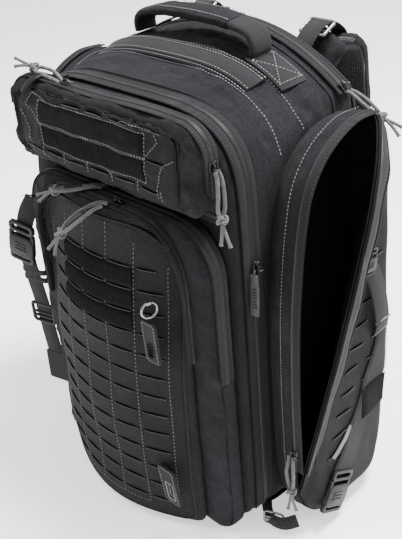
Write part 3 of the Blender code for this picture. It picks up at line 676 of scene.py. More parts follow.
def pack_outline(y, grow=0.0):
    """The pack's closed outline at depth y, anticlockwise from the middle of its base."""
    share = min(1.0, max(0.0, (DIVIDER_Y - y) / (DIVIDER_Y - ZIP_Y)))
    side = HALF_WIDTH + (FRONT_HALF_WIDTH - HALF_WIDTH) * share
    half = [(x, BASE_Z) for x in np.linspace(0.0, side - 0.030, 9)]
    half += arc((side - 0.030, BASE_Z + 0.036), (0.030, 0.036), -90, 0, 8)[1:]
    half += [(side, z) for z in np.linspace(0.052, 0.350, 24)]
    for rise in np.linspace(0.0, 1.0, 34):
        turn = math.radians(8 + 82 * rise)
        front_x = FRONT_HALF_WIDTH * max(0.0, math.cos(turn)) ** (2 / FRONT_POWER)
        front_z = FRONT_SPRING_Z + FRONT_RISE * math.sin(turn) ** (2 / FRONT_POWER)
        lean = math.radians(40.5 * (1.0 - rise) ** 0.85)
        rear_x = CROWN_RADIUS * math.sin(lean)
        rear_z = CROWN_CENTRE_Z + CROWN_RADIUS * math.cos(lean)
        half.append((rear_x + (front_x - rear_x) * share, rear_z + (front_z - rear_z) * share))
    half[-1] = (0.0, half[-1][1])
    outline = np.array(half + [(-x, z) for x, z in reversed(half[1:-1])])
    outline = soften(outline, 3)
    return outline + outward_of(outline) * grow


def ring_at_y(outline, y):
    """A closed (x, z) outline placed at depth y."""
    return np.stack((outline[:, 0], np.full(len(outline), y), outline[:, 1]), axis=1)


def grown_rings(outline, profile):
    """Rings of an outline, one for each (growth, depth) of the profile."""
    normal = outward_of(outline)
    return [ring_at_y(outline + normal * grow, y) for grow, y in profile]


def pack_rings(profile):
    """The same for the pack's outline at its main zip."""
    return [ring_at_y(pack_outline(ZIP_Y, grow), y) for grow, y in profile]


def top_of(x, y, grow=0.0):
    """The height of the pack's crown at x, y."""
    outline = pack_outline(y, grow)
    high = outline[outline[:, 1] > 0.40]
    order = np.argsort(high[:, 0])
    return float(np.interp(x, high[order, 0], high[order, 1]))


def arch(half, low, high, corner, foot):
    """A pocket's closed outline: a rounded top of radius corner and a rounded foot."""
    reach = half - foot
    right = [(x, low) for x in np.linspace(0.0, reach, 13)]
    right += arc((reach, low + foot), (foot, foot), -90, 0, 6)[1:]
    rise = high - corner - low - foot
    right += [(half, low + foot + rise * s) for s in np.linspace(0.0, 1.0, max(4, int(rise / 0.010)))[1:]]
    right += arc((half - corner, high - corner), (corner, corner), 0, 90, 12)[1:]
    right += [(x, high) for x in np.linspace(half - corner, 0.0, 12)[1:]]
    return soften(np.array(right + [(-x, z) for x, z in reversed(right[1:-1])]), 2)


def face_y(x, z):
    """Depth of the bulged front of the lower pocket."""
    lean = (z - 0.195) / 0.150
    return -0.150 + 2.4 * x * x + 0.0097 * lean + 0.0070 * lean * lean


# ------------------------------------------------------------------ cloth pieces

TAPE_LIFT = 0.0006  # how far a zip's tape lies above its path
TAPE_THICKNESS = 0.0011
COIL_OFFSET = 0.0011  # how far a half of the coil lies to its own side


def orient(obj, centre):
    """Turns the faces of an open shell away from a point inside it."""
    total = 0.0
    for face in obj.data.polygons:
        total += face.area * face.normal.dot(face.center - Vector(centre))
    if total < 0:
        obj.data.flip_normals()
    return obj


def crease(obj, amount, scale, seed, mask=None):
    """Moves a cloth's points along its normals: soft swells and sharper folds."""
    scale = Vector(scale if hasattr(scale, "__len__") else (scale,) * 3)
    shift = Vector((seed * 3.1, seed * 1.7, -seed * 2.3))
    mesh = obj.data
    normals = [vert.normal.copy() for vert in mesh.vertices]
    for vert, normal in zip(mesh.vertices, normals):
        place = Vector((vert.co.x * scale.x, vert.co.y * scale.y, vert.co.z * scale.z)) + shift
        soft = noise.fractal(place, 0.7, 2.0, 4)
        fold = 1.0 - abs(noise.noise(place * 1.9 + Vector((7.0, 1.0, 3.0)))) * 2.2
        weight = 1.0 if mask is None else mask(vert.co)
        vert.co += normal * (amount * (0.75 * soft + 0.55 * (max(0.0, fold) ** 3 - 0.25))) * weight
        vert.co.z = max(vert.co.z, 0.0004)
    mesh.update()


def midpoints(rows, closed):
    """Doubles a grid along its first axis with a four-point curve scheme."""
    if closed:
        before, after, beyond = np.roll(rows, 1, 0), np.roll(rows, -1, 0), np.roll(rows, -2, 0)
        made = (9 * (rows + after) - before - beyond) / 16
        return np.stack((rows, made), axis=1).reshape(-1, *rows.shape[1:])
    padded = np.concatenate((2 * rows[:1] - rows[1:2], rows, 2 * rows[-1:] - rows[-2:-1]))
    made = (9 * (padded[1:-2] + padded[2:-1]) - padded[:-3] - padded[3:]) / 16
    out = np.empty((len(rows) * 2 - 1, *rows.shape[1:]))
    out[0::2] = rows
    out[1::2] = made
    return out


def shell(name, rings, shade, centre, cap=0, cap_swell=0.0):
    """A cloth shell lofted through closed rings; cap adds rings that close its last end."""
    rows = [np.array(ring, dtype=float) for ring in rings]
    if cap:
        last = rows[-1]
        middle = (last.max(axis=0) + last.min(axis=0)) / 2
        out = (last - rows[-2]).mean(axis=0)
        out /= np.linalg.norm(out) + 1e-12
        for i in range(1, cap + 1):
            share = 1.0 - i / (cap + 0.35)
            rows.append(middle + (last - middle) * share + out * (cap_swell * (1.0 - share * share)))
    grid = midpoints(np.array(rows), False)
    grid = midpoints(grid.transpose(1, 0, 2), True).transpose(1, 0, 2)
    count = grid.shape[1]
    verts = [tuple(p) for row in grid for p in row]
    faces = sheet_faces(len(grid), count, True)
    if cap:
        verts.append(tuple(grid[-1].mean(axis=0)))
        base = (len(grid) - 1) * count
        faces += [(base + i, base + (i + 1) % count, len(verts) - 1) for i in range(count)]
    return orient(put(name, verts, faces, shade), centre)


def add_lining(outer, name, inward):
    """A lining: a copy of a shell of the pack moved inwards, facing in."""
    inner = outer.copy()
    inner.data = outer.data.copy()
    inner.name = name
    inner.data.materials.clear()
    inner.data.materials.append(SHADES["lining"])
    bpy.context.scene.collection.objects.link(inner)
    mesh = inner.data
    moves = [vert.normal.copy() for vert in mesh.vertices]
    for vert, normal in zip(mesh.vertices, moves):
        vert.co -= normal * inward
    mesh.flip_normals()
    mesh.update()
    ride(inner, "pack", "pack_cloth")


def outline_path(outline, y, grow):
    """Points and outward normals of an outline's stretch as a path at depth y."""
    normal = outward_of(outline)
    points = outline + normal * grow
    places = np.stack((points[:, 0], np.full(len(points), y), points[:, 1]), axis=1)
    outward = np.stack((normal[:, 0], np.zeros(len(points)), normal[:, 1]), axis=1)
    return places, outward


def path_above(outline, y, low, grow):
    """The same for the stretch above low only."""
    places, outward = outline_path(outline, y, grow)
    keep = outline[:, 1] >= low
    return places[keep], outward[keep]


def looped(places):
    """A path brought back to its first point."""
    return np.vstack((places, places[:1]))


def piping(name, points, radius, shade, body):
    """A bound seam: a thin cord of folded tape along a path."""
    ride(tube(name, resample(points, 0.006), radius, shade, 8), body, "pack_cloth")


def zip_half(name, points, normals, side, width, body):
    """One woven tape with its half of the coil; side is +1 or -1 across the path."""
    places, _, across, outward = frames_along(points, normals)
    centre = places + across * (side * (width / 2 + 0.0012)) + outward * TAPE_LIFT
    tape = strap(name, centre, outward, width, TAPE_THICKNESS, "tape")
    ride(tape, body, "zip_tape")
    coil = teeth(name + "_coil", places + outward * (TAPE_LIFT + 0.0006), outward, side * COIL_OFFSET)
    ride(coil, body, "zip_tape")
    seam = places + across * (side * (width - 0.0010)) + outward * (TAPE_LIFT + TAPE_THICKNESS)
    sewn = stitches(name + "_stitches", [(seam, outward)], "thread_dark", 0.0036, 0.0024, 0.0007)
    ride(sewn, body, "zip_tape")
    return tape


# ------------------------------------------------------------------ cords

CORD_ROUTES = {
    "upper_pull_cord": [(0.1560, -0.0935, 0.4675), (0.1590, -0.0945, 0.4600), (0.1600, -0.0960, 0.4440),
                        (0.1590, -0.0965, 0.4280), (0.1590, -0.0925, 0.4220), (0.1600, -0.0885, 0.4280),
                        (0.1605, -0.0880, 0.4440), (0.1590, -0.0885, 0.4600), (0.1560, -0.0895, 0.4675)],
    "side_pull_cord": [(0.2020, -0.0580, 0.1270), (0.2030, -0.0605, 0.1200), (0.2010, -0.0620, 0.1050),
                       (0.2030, -0.0610, 0.0880), (0.2060, -0.0610, 0.0820), (0.2090, -0.0610, 0.0880),
                       (0.2110, -0.0620, 0.1050), (0.2090, -0.0600, 0.1200), (0.2080, -0.0580, 0.1270)],
    "rear_pull_cord": [(0.1660, 0.0920, 0.4890), (0.1720, 0.0915, 0.4880), (0.1850, 0.0900, 0.4820),
                       (0.1980, 0.0910, 0.4740), (0.2030, 0.0945, 0.4710), (0.1980, 0.0985, 0.4740),
                       (0.1850, 0.0990, 0.4820), (0.1720, 0.0980, 0.4880), (0.1660, 0.0975, 0.4890)],
    "lower_back_cord": [(-0.0120, -0.0945, 0.4070), (-0.0190, -0.0985, 0.4080), (-0.0330, -0.1080, 0.4060),
                        (-0.0480, -0.1200, 0.4050), (-0.0530, -0.1280, 0.4045), (-0.0470, -0.1300, 0.4050),
                        (-0.0330, -0.1180, 0.4060), (-0.0190, -0.1050, 0.4080), (-0.0120, -0.0990, 0.4070)],
    "lower_front_cord": [(0.0180, -0.1170, 0.4040), (0.0110, -0.1210, 0.4050), (0.0000, -0.1330, 0.4000),
                         (-0.0120, -0.1470, 0.3880), (-0.0150, -0.1560, 0.3780), (-0.0080, -0.1560, 0.3800),
                         (0.0020, -0.1460, 0.3900), (0.0120, -0.1310, 0.4010), (0.0180, -0.1240, 0.4040)],
    "upper_top_cord": [(-0.0640, -0.0900, 0.5110), (-0.0720, -0.0880, 0.5130), (-0.0880, -0.0840, 0.5160),
                       (-0.1040, -0.0860, 0.5180), (-0.1080, -0.0910, 0.5180), (-0.1040, -0.0960, 0.5170),
                       (-0.0880, -0.0960, 0.5150), (-0.0720, -0.0960, 0.5130), (-0.0640, -0.0955, 0.5110)],
}

KNOT_SIZE = 0.0017

# Cord, its body, its length, the way its two tails point, whether it wears a ribbed sleeve, and its lay.
CORD_FACTS = [
    ("upper_pull_cord", "upper_slider", 0.096, (0.25, -0.15, -1.0), False, "hanging"),
    ("side_pull_cord", "side_slider", 0.093, (0.05, -0.05, -1.0), False, "hanging"),
    ("rear_pull_cord", "rear_slider", 0.086, (1.0, 0.05, -0.35), False, "loose"),
    ("lower_back_cord", "lower_back_slider", 0.108, (-1.0, -0.55, -0.45), True, "loose"),
    ("lower_front_cord", "lower_front_slider", 0.118, (-0.55, -0.45, -1.0), True, "loose"),
    ("upper_top_cord", "upper_top_slider", 0.096, (-0.9, -0.5, 0.35), False, "loose"),
]


def knot(name, place, ahead):
    """An overhand knot drawn tight round the loop's end."""
    forward = Vector(ahead).normalized()
    turn = forward.to_track_quat("Z", "Y").to_matrix()
    loop = []
    for t in np.linspace(0.0, 2 * math.pi, 61)[:-1]:
        own = Vector((math.sin(t) + 2 * math.sin(2 * t), math.cos(t) - 2 * math.cos(2 * t),
                      -1.7 * math.sin(3 * t)))
        loop.append(Vector(place) + turn @ (own * KNOT_SIZE))
    return tube(name, loop + loop[:1], CORD / 2 * 0.85, "paracord", 10)


def tail(name, place, ahead, spread, length):
    """A cut cord end below the knot, flared where it is melted."""
    start = Vector(place)
    forward = Vector(ahead).normalized()
    aside = forward.orthogonal().normalized() * spread
    steps = np.linspace(0.0, 1.0, 9)
    path = [start + forward * (length * s) + aside * (s ** 1.4) + Vector((0, 0, -0.003)) * s * s
            for s in steps]
    radii = [CORD / 2 * 0.85] * 8 + [CORD / 2 * 1.12]
    return tube(name, path, CORD / 2, "paracord", 10, radii)


def sleeve(name, start, end):
    """A ribbed rubber grip over both strands."""
    a, b = Vector(start), Vector(end)
    ribs = 9
    path, radii = [], []
    for i in range(ribs * 4 + 1):
        share = i / (ribs * 4)
        path.append(a.lerp(b, share))
        swell = 0.5 - 0.5 * math.cos(2 * math.pi * share * ribs)
        ends = min(1.0, 6 * share + 0.55, 6 * (1 - share) + 0.55)
        radii.append((0.0036 + 0.0012 * swell) * ends)
    return tube(name, path, 0.004, "rubber", 14, radii)


def add_cords():
    """The six pull cords, each with its knot and tails, and a sleeve where one is worn."""
    for name, body, length, tails, sleeved, lay in CORD_FACTS:
        route = CORD_ROUTES[name]
        places = spline(route, 0.0024)
        curve = bpy.data.curves.new(name + "_line", "CURVE")
        curve.dimensions = "3D"
        curve.bevel_depth = CORD / 2
        curve.bevel_resolution = 4
        curve.use_fill_caps = True
        line = curve.splines.new("POLY")
        line.points.add(len(places) - 1)
        for point, place in zip(line.points, places):
            point.co = (*place, 1.0)
        curve.materials.append(SHADES["paracord"])
        loop = bpy.data.objects.new("cord_" + name, curve)
        bpy.context.scene.collection.objects.link(loop)
        ride(loop, body, "paracord", name)
        tip = Vector(route[4])
        ahead = Vector(tails).normalized()
        pieces = [knot("knot_" + name, tip + ahead * 0.003, ahead)]
        for number, spread in ((1, 0.004), (2, -0.005)):
            label = "tail_%d_%s" % (number, name)
            pieces.append(tail(label, tip + ahead * 0.005, ahead, spread, 0.017 + 0.003 * number))
        if sleeved:
            near = (Vector(route[2]) + Vector(route[6])) / 2
            far = (Vector(route[3]) + Vector(route[5])) / 2
            pieces.append(sleeve("sleeve_" + name, near.lerp(far, -0.15), near.lerp(far, 0.9)))
        for piece in pieces:
            ride(piece, body, "paracord")
        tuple(route[0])


# ------------------------------------------------------------------ main bag, rear compartment, base

SURFACES = {}
FORWARD = np.array([0.0, -1.0, 0.0])


def bag_mask(low_y, high_y, soft):
    """Keeps the folds away from a shell's two seams and from its base."""
    def mask(place):
        near = min(place.y - low_y, high_y - place.y)
        return ease(near, 0.0, soft) * ease(place.z, 0.0, 0.05)
    return mask


def under_strip(place):
    """How far a point is kept smooth because the crown strip is sewn over it."""
    if place.z < 0.38:
        return 1.0
    return 1.0 - 0.85 * math.exp(-((place.y - 0.011) / 0.024) ** 4)


def draped(points, lift):
    """Drops points onto the bag's folded cloth, then raises them off it."""
    out = []
    for point in points:
        ahead = Vector((0.9 * point[0], 0.0, max(0.0, point[2] - 0.30))).normalized()
        start = Vector(point) + ahead * 0.03
        found = SURFACES["bag"].ray_cast(start, -ahead, 0.08)[0]
        out.append(tuple((found if found is not None else Vector(point)) + ahead * lift))
    return np.array(out)


def add_main_bag():
    """The bag's shell between the main zip and the rear compartment, with its lining."""
    rim_y = ZIP_Y + TAPE + 0.0004
    depths = np.linspace(rim_y, DIVIDER_Y, 19)
    rings = []
    for y in depths:
        share = (y - rim_y) / (DIVIDER_Y - rim_y)
        rings.append(ring_at_y(pack_outline(y, 0.0022 * math.sin(math.pi * share)), y))
    bag = shell("bag_shell", rings, "cloth", (0.0, 0.02, 0.25))
    soft, firm = bag_mask(rim_y, DIVIDER_Y, 0.030), bag_mask(rim_y, DIVIDER_Y, 0.020)
    crease(bag, 0.0066, (13.0, 17.0, 10.0), 2.0, lambda place: soft(place) * under_strip(place))
    crease(bag, 0.0026, (38.0, 46.0, 30.0), 5.0, lambda place: firm(place) * under_strip(place))
    SURFACES["bag"] = BVHTree.FromPolygons([v.co.copy() for v in bag.data.vertices],
                                           [tuple(p.vertices) for p in bag.data.polygons])
    ride(bag, "pack", "pack_cloth", "main_bag")
    add_lining(bag, "bag_lining", 0.0026)
    wall = [ring_at_y(pack_outline(DIVIDER_Y, -0.003), DIVIDER_Y - 0.002),
            ring_at_y(pack_outline(DIVIDER_Y, -0.012), DIVIDER_Y - 0.0022)]
    divider = shell("bag_back_wall", wall, "lining", (0.0, 0.2, 0.25), 10, 0.0015)
    crease(divider, 0.002, 14.0, 4.0)
    ride(divider, "pack", "pack_cloth")
    rim, _ = outline_path(pack_outline(rim_y), rim_y, -0.0012)
    edge = strap("bag_rim_binding", looped(rim), FORWARD, 0.0036, 0.0010, "tape")
    ride(edge, "pack", "pack_cloth")


def add_base():
    """The sewn base: a slightly proud ballistic panel that wraps the bottom corners."""
    foot = arch(0.150, -0.052, 0.104, 0.030, 0.030)
    normal = outward_of(foot)
    rings = []
    for grow, z in ((-0.012, 0.0006), (-0.004, 0.0008), (0.0, 0.0024), (-0.0004, 0.0042), (-0.010, 0.0045)):
        outline = foot + normal * grow
        rings.append(np.stack((outline[:, 0], outline[:, 1], np.full(len(outline), z)), axis=1))
    base = shell("base_cloth", list(reversed(rings)), "cloth", (0.0, 0.02, 0.1), 6, 0.0)
    ride(base, "pack", "pack_cloth", "base_panel")


def add_rear_compartment():
    """The shell behind the divider, up to the wearer's side."""
    front_y = DIVIDER_Y + 0.0004
    rings = []
    for share in np.linspace(0.0, 1.0, 8):
        y = front_y + (REAR_Y - 0.003 - front_y) * share
        rings.append(ring_at_y(pack_outline(y, 0.0032 * math.sin(math.pi * share) - 0.0004), y))
    rings.append(ring_at_y(pack_outline(REAR_Y, -0.0030), REAR_Y - 0.0004))
    rings.append(ring_at_y(pack_outline(REAR_Y, -0.0080), REAR_Y + 0.0010))
    bag = shell("rear_shell", rings, "cloth", (0.0, 0.08, 0.25), 12, 0.0016)

    def mask(place):
        side = ease(min(place.y - front_y, 0.01), 0.0, 0.01)
        return side * ease(place.z, 0.0, 0.04)
    crease(bag, 0.0028, (16.0, 30.0, 13.0), 9.0, mask)
    ride(bag, "pack", "pack_cloth", "rear_compartment", "back_panel")
    seam = ring_at_y(pack_outline(front_y, 0.0006), front_y)
    piping("rear_seam_front", looped(seam), 0.0014, "tape", "pack")
    seam = ring_at_y(pack_outline(REAR_Y, 0.0004), REAR_Y - 0.001)
    piping("rear_seam_back", looped(seam), 0.0022, "webbing_z", "pack")


def add_rear_zip():
    """The zip that arches over the crown, around one circle."""
    leans = np.radians(np.linspace(39.3, -39.3, 90))
    radius = CROWN_RADIUS + 0.0034
    points = np.array([(radius * math.sin(a), 0.095, CROWN_CENTRE_Z + radius * math.cos(a)) for a in leans])
    normals = np.array([(math.sin(a), 0.0, math.cos(a)) for a in leans])
    first = zip_half("rear_zip_front", points, normals, 1, 0.0085, "pack")
    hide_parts("rear_zip_tape")
    zip_half("rear_zip_back", points, normals, -1, 0.0085, "pack")


def add_top_strip():
    """A doubled ribbed webbing strip across the crown with stitched edges."""
    xs = np.linspace(0.114, -0.114, 60)
    points = np.array([(x, 0.011, top_of(x, 0.011) + 0.0045) for x in xs])
    slope = (top_of(0.0, 0.021) - top_of(0.0, 0.001)) / 0.02
    up = np.array([(0.9 * x, -slope, 1.0) for x in xs])
    flap = strap("top_strip", points, up, 0.024, 0.0016, "webbing_y", 0.0006)
    ride(flap, "pack", "pack_cloth", "top_zip_strip")
    under = strap("top_strip_under", points, up, 0.034, 0.0012, "cloth", -0.0008)
    ride(under, "pack", "pack_cloth")
    rows = []
    for shift in (-0.0145, -0.0098, 0.0098, 0.0145):
        places, _, across, outward = frames_along(points, up)
        lift = 0.0024 if abs(shift) < 0.011 else 0.0010
        rows.append((places + across * shift + outward * lift, outward))
    sewn = stitches("top_strip_stitches", rows)
    ride(sewn, "pack", "pack_cloth")


def add_crown_seams():
    """Stitched seam lines over the crown and down each shoulder."""
    rows = []
    for y in (-0.006, 0.030):
        outline, outward = path_above(pack_outline(y, 0.0030), y, 0.30, 0.0)
        rows.append((draped(outline[6:-6], 0.0004), outward[6:-6]))
    sewn = stitches("crown_stitches", rows, "thread_light")
    ride(sewn, "pack", "pack_cloth")


# ------------------------------------------------------------------ main zip and front panel


def add_main_zip():
    """The long opening zip: one tape on the bag and one on the opening front."""
    low = 0.020
    line, outward = path_above(pack_outline(ZIP_Y), ZIP_Y, low, -0.0004)
    first = zip_half("main_zip_bag_half", line, outward, 1, 0.0125, "pack")
    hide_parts("main_zip_tape")
    second = zip_half("main_zip_panel_half", line, outward, -1, 0.0125, "front_panel")
    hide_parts("panel_zip_tape")
    for number, y, body in ((1, ZIP_Y + 0.0132, "pack"), (2, ZIP_Y - 0.0132, "front_panel")):
        edge, _ = path_above(pack_outline(ZIP_Y), y, low, 0.0010)
        piping("main_zip_edge_%d" % number, edge, 0.0011, "cloth", body)


def add_front_panel():
    """The cloth of the opening front, behind the front pockets."""
    rim = ZIP_Y - 0.0006
    rings = pack_rings([(-0.0030, rim), (-0.0024, rim - 0.007), (-0.0022, rim - 0.0140), (-0.0026, -0.0725),
                        (-0.0042, -0.0760), (-0.0075, -0.0778), (-0.0140, -0.0782)])
    panel = shell("panel_cloth", rings, "cloth", (0.0, 0.1, 0.25), 14, 0.0)

    def mask(place):
        return ease(-place.y, 0.066, 0.076)
    crease(panel, 0.0016, 22.0, 11.0, mask)
    ride(panel, "front_panel", "pack_cloth", "front_panel")
    back = pack_rings([(-0.0032, rim), (-0.010, rim - 0.001)])
    lining = shell("panel_lining", back, "lining", (0.0, -0.2, 0.25), 12, 0.0)
    ride(lining, "front_panel", "pack_cloth")
    rim_line, _ = outline_path(pack_outline(ZIP_Y), ZIP_Y - 0.0034, -0.0024)
    binding = strap("panel_rim_binding", looped(rim_line), FORWARD, 0.0062, 0.0010, "tape")
    ride(binding, "front_panel", "pack_cloth")
    add_hinge_cloth()
    line = np.array([(x, -0.0802, 0.4115) for x in np.linspace(0.147, -0.147, 60)])
    zip_half("recess_zip_upper", line, FORWARD, 1, 0.007, "front_panel")
    zip_half("recess_zip_lower", line, FORWARD, -1, 0.007, "front_panel")
    rows = [(np.array([(0.150, -0.0800, z), (-0.150, -0.0800, z)]), FORWARD) for z in (0.4035, 0.4190)]
    sewn = stitches("recess_stitches", rows, "thread_light", 0.0042, 0.0024, 0.0008)
    ride(sewn, "front_panel", "pack_cloth")


def add_hinge_cloth():
    """The strip of cloth along the base that the opening front folds on."""
    xs = np.linspace(-0.132, 0.132, 34)
    ys = np.linspace(-0.0400, -0.0680, 11)
    verts = [(x, y, 0.0028) for y in ys for x in xs]
    strip = put("hinge_cloth", verts, sheet_faces(len(ys), len(xs)), "cloth")
    solidify(strip, 0.0010, 0.0)
    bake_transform(strip)


# ------------------------------------------------------------------ slotted laminate faces

SLOT_HALF_OPEN = 0.00055  # half the height a slot is cut to
SLOT_GAPE = 0.0014  # how far a slot's lower lip stands out


def slotted_sheet(name, xs, zs, slots, place, inside, shade, thickness=0.0011):
    """A laser-cut sheet: slots are (x centre, z, half length); place maps (x, z, lift) to space.

    inside(x, z) gives the nearest point of the sheet's outline's inside, and how far out it was.
    """
    half_open = SLOT_HALF_OPEN
    all_x = set(np.round(xs, 5))
    all_z = set(np.round(zs, 5))
    for centre, z, half in slots:
        for share in np.linspace(-1.0, 1.0, 9):
            all_x.add(round(centre + half * share, 5))
        for shift in (-0.0046, -half_open, half_open, 0.0046):
            all_z.add(round(z + shift, 5))
    xs = drop_close(sorted(all_x), 0.0012, [round(c + s * h, 5) for c, _, h in slots for s in (-1, 1)])
    keep = [round(z + s, 5) for _, z, _ in slots for s in (-half_open, half_open)]
    zs = drop_close(sorted(all_z), 0.0008, keep)
    verts, index, faces = [], {}, []
    lookup = {}
    for centre, z, half in slots:
        lookup.setdefault(round(z, 5), []).append((centre, half))

    def vertex(i, k):
        if (i, k) in index:
            return index[i, k]
        x, z = xs[i], zs[k]
        lift = 0.0
        for row, found in lookup.items():
            away = z - row
            if abs(away) < 0.008:
                for centre, half in found:
                    across = abs(x - centre) / half
                    if across < 1.0:
                        lens = math.sqrt(1.0 - across * across)
                        if abs(abs(away) - half_open) < 1e-5:
                            z = row + math.copysign(0.00012 + 0.00062 * lens, away)
                        if away < 0:
                            lift += SLOT_GAPE * lens * max(0.0, 1.0 + away / 0.0065)
                        else:
                            lift -= 0.25 * SLOT_GAPE * lens * max(0.0, 1.0 - away / 0.0065)
        px, pz, _ = inside(x, z)
        index[i, k] = len(verts)
        verts.append(place(px, pz, lift))
        return index[i, k]

    for i in range(len(xs) - 1):
        for k in range(len(zs) - 1):
            mid_x, mid_z = (xs[i] + xs[i + 1]) / 2, (zs[k] + zs[k + 1]) / 2
            out = [inside(xs[a], zs[b])[2] for a, b in ((i, k), (i + 1, k), (i + 1, k + 1), (i, k + 1))]
            if min(out) > 1e-6:
                continue
            cut = False
            for row, found in lookup.items():
                if abs(mid_z - row) < half_open:
                    cut = cut or any(abs(mid_x - c) < h for c, h in found)
            if cut:
                continue
            faces.append((vertex(i, k), vertex(i + 1, k), vertex(i + 1, k + 1), vertex(i, k + 1)))
    made = put(name, verts, faces, shade)
    merge_close(made)
    solidify(made, thickness)
    return made


def slot_lips(name, slots, place):
    """A strip of painted highlight along the lower side of each slot, where the laminate's cut lip catches
    the light.
    """
    rows = [[(centre + half * t, z - 0.00025 - 0.0006 * math.sqrt(max(0.0, 1.0 - t * t)))
             for t in np.linspace(-0.93, 0.93, 9)] for centre, z, half in slots]

    def lifted(x, z, lift):
        return place(x, z, lift + 0.0009)
    return laid_stitches(name, rows, lifted, "slot_lip_highlight", 0.0036, 0.0036, 0.0006)


def drop_close(values, gap, keep):
    """Thins a sorted list of grid lines without losing the ones in keep."""
    keep = set(keep)
    out = []
    for value in values:
        if out and value - out[-1] < gap:
            if value in keep and out[-1] not in keep:
                out[-1] = value
            elif value in keep:
                out.append(value)
            continue
        out.append(value)
    return out


def merge_close(obj):
    """Welds points that fall together."""
    work = bmesh.new()
    work.from_mesh(obj.data)
    bmesh.ops.remove_doubles(work, verts=work.verts, dist=1e-6)
    work.to_mesh(obj.data)
    work.free()
    obj.data.update()


def arch_inside(half, low, high, corner, foot):
    """Moves a point that lies outside an arched outline back onto it."""
    def inside(x, z):
        px = min(max(x, -half), half)
        pz = min(max(z, low), high)
        for radius, edge, sign in ((corner, high, 1), (foot, low, -1)):
            cx, cz = half - radius, edge - sign * radius
            if abs(px) > cx and sign * (pz - cz) > 0:
                dx, dz = abs(px) - cx, pz - cz
                far = math.hypot(dx, dz)
                if far > radius:
                    px = math.copysign(cx + dx * radius / far, px)
                    pz = cz + dz * radius / far
        return px, pz, abs(px - x) + abs(pz - z)
    return inside


def laid_stitches(name, rows, place, shade="thread_light", pitch=0.0042, length=0.0027, width=0.0009):
    """Stitches along rows of (x, z) points on a placed surface."""
    paths = []
    for row in rows:
        fine = resample([(x, z, 0.0) for x, z in row], 0.004)
        points = [place(x, z, 0.0003) for x, z, _ in fine]
        outward = []
        for x, z, _ in fine:
            a = Vector(place(x + 0.002, z, 0)) - Vector(place(x - 0.002, z, 0))
            b = Vector(place(x, z + 0.002, 0)) - Vector(place(x, z - 0.002, 0))
            outward.append(tuple(a.cross(b).normalized()))
        paths.append((np.array([tuple(p) for p in points]), np.array(outward)))
    return stitches(name, paths, shade, pitch, length, width)


def laid_strip(name, x_low, x_high, z_low, z_high, place, shade, thickness, lift, ribs=0, depth=0.0):
    """A strip laid on a placed surface; ribs gives it upright ridges of real depth."""
    steps = max(8, ribs * 4 if ribs else int((x_high - x_low) / 0.004))
    rows = 7
    verts = []
    for side in (0, 1):
        for i in range(steps + 1):
            share = i / steps
            x = x_low + (x_high - x_low) * share
            for k in range(rows + 1):
                rise = k / rows
                z = z_low + (z_high - z_low) * rise
                edge = min(share, 1 - share) * (x_high - x_low)
                edge = min(edge, min(rise, 1 - rise) * (z_high - z_low))
                top = lift + thickness * ease(edge, -0.0006, 0.0012)
                if ribs and edge > 0.0008:
                    top += depth * (0.5 - 0.5 * math.cos(2 * math.pi * share * ribs))
                verts.append(place(x, z, top if side else lift - 0.0004))
    count = (steps + 1) * (rows + 1)
    faces = []
    for i in range(steps):
        for k in range(rows):
            a = i * (rows + 1) + k
            b = a + rows + 1
            faces.append((count + a, count + b, count + b + 1, count + a + 1))
            faces.append((a, a + 1, b + 1, b))
    for i in range(steps):
        a, b = i * (rows + 1), (i + 1) * (rows + 1)
        faces.append((a, b, count + b, count + a))
        faces.append((a + rows, count + a + rows, count + b + rows, b + rows))
    for k in range(rows):
        a, b = k, steps * (rows + 1) + k
        faces.append((a, count + a, count + a + 1, a + 1))
        faces.append((b, b + 1, count + b + 1, count + b))
    made = put(name, verts, faces, shade)
    made.data.set_sharp_from_angle(angle=math.radians(60))
    return made


# ------------------------------------------------------------------ lower pocket

SLOT_TOP = 0.3455
SLOT_ROWS = 13
SLOT_HALF = 0.0162
FACE_HALF = 0.110
FACE_LOW = 0.014
FACE_HIGH = 0.390
FACE_CORNER = 0.062
FACE_FOOT = 0.012
SECOND_ZIP = arch(0.1478, 0.006, 0.4008, 0.054, 0.018)


def lower_place(x, z, lift):
    """A point of the lower pocket's face, lift metres in front of it."""
    depth = face_y(x, z)
    slope_x = 4.8 * x
    lean = (z - 0.195) / 0.150
    slope_z = (0.0097 + 0.0140 * lean) / 0.150
    normal = Vector((slope_x, -1.0, slope_z)).normalized()
    sag = 0.0014 * math.sin(z * 46.0 + 1.0) * math.cos(x * 30.0)
    return Vector((x, depth + 0.0012, z)) + normal * (lift + sag)


def lower_slots():
    """Middle and half length of every laser-cut slot on the lower face."""
    slots = []
    for row in range(SLOT_ROWS):
        z = SLOT_TOP - ROW * row
        for column in range(-2, 3):
            x = COLUMN * column
            if row == 0 and abs(column) == 2:
                x -= math.copysign(0.0045, column)
                slots.append((x, z, SLOT_HALF - 0.0045))
            else:
                slots.append((x, z, SLOT_HALF))
    return slots


def tray_rings(low_y):
    """Rings of the front tray's side wall, from its zip to the edge of its face."""
    rings = []
    outline = arch(0.1160, 0.008, 0.398, 0.060, 0.016)
    normal = outward_of(outline)
    for share in np.linspace(0.0, 1.0, 9):
        ring = []
        for (x, z), (nx, nz) in zip(outline, normal):
            rim_x, rim_z = x - nx * 0.0065, z - nz * 0.0065
            front = lower_place(rim_x, rim_z, -0.0006)
            bow = 0.0022 * math.sin(math.pi * min(1.0, share * 1.15))
            y = low_y + (front.y - low_y) * share
            turn = share ** 3
            px = x * (1 - turn) + front.x * turn + nx * bow
            pz = z * (1 - turn) + front.z * turn + nz * bow
            ring.append((px, min(y, low_y), max(pz, 0.0008)))
        rings.append(np.array(ring))
    return rings


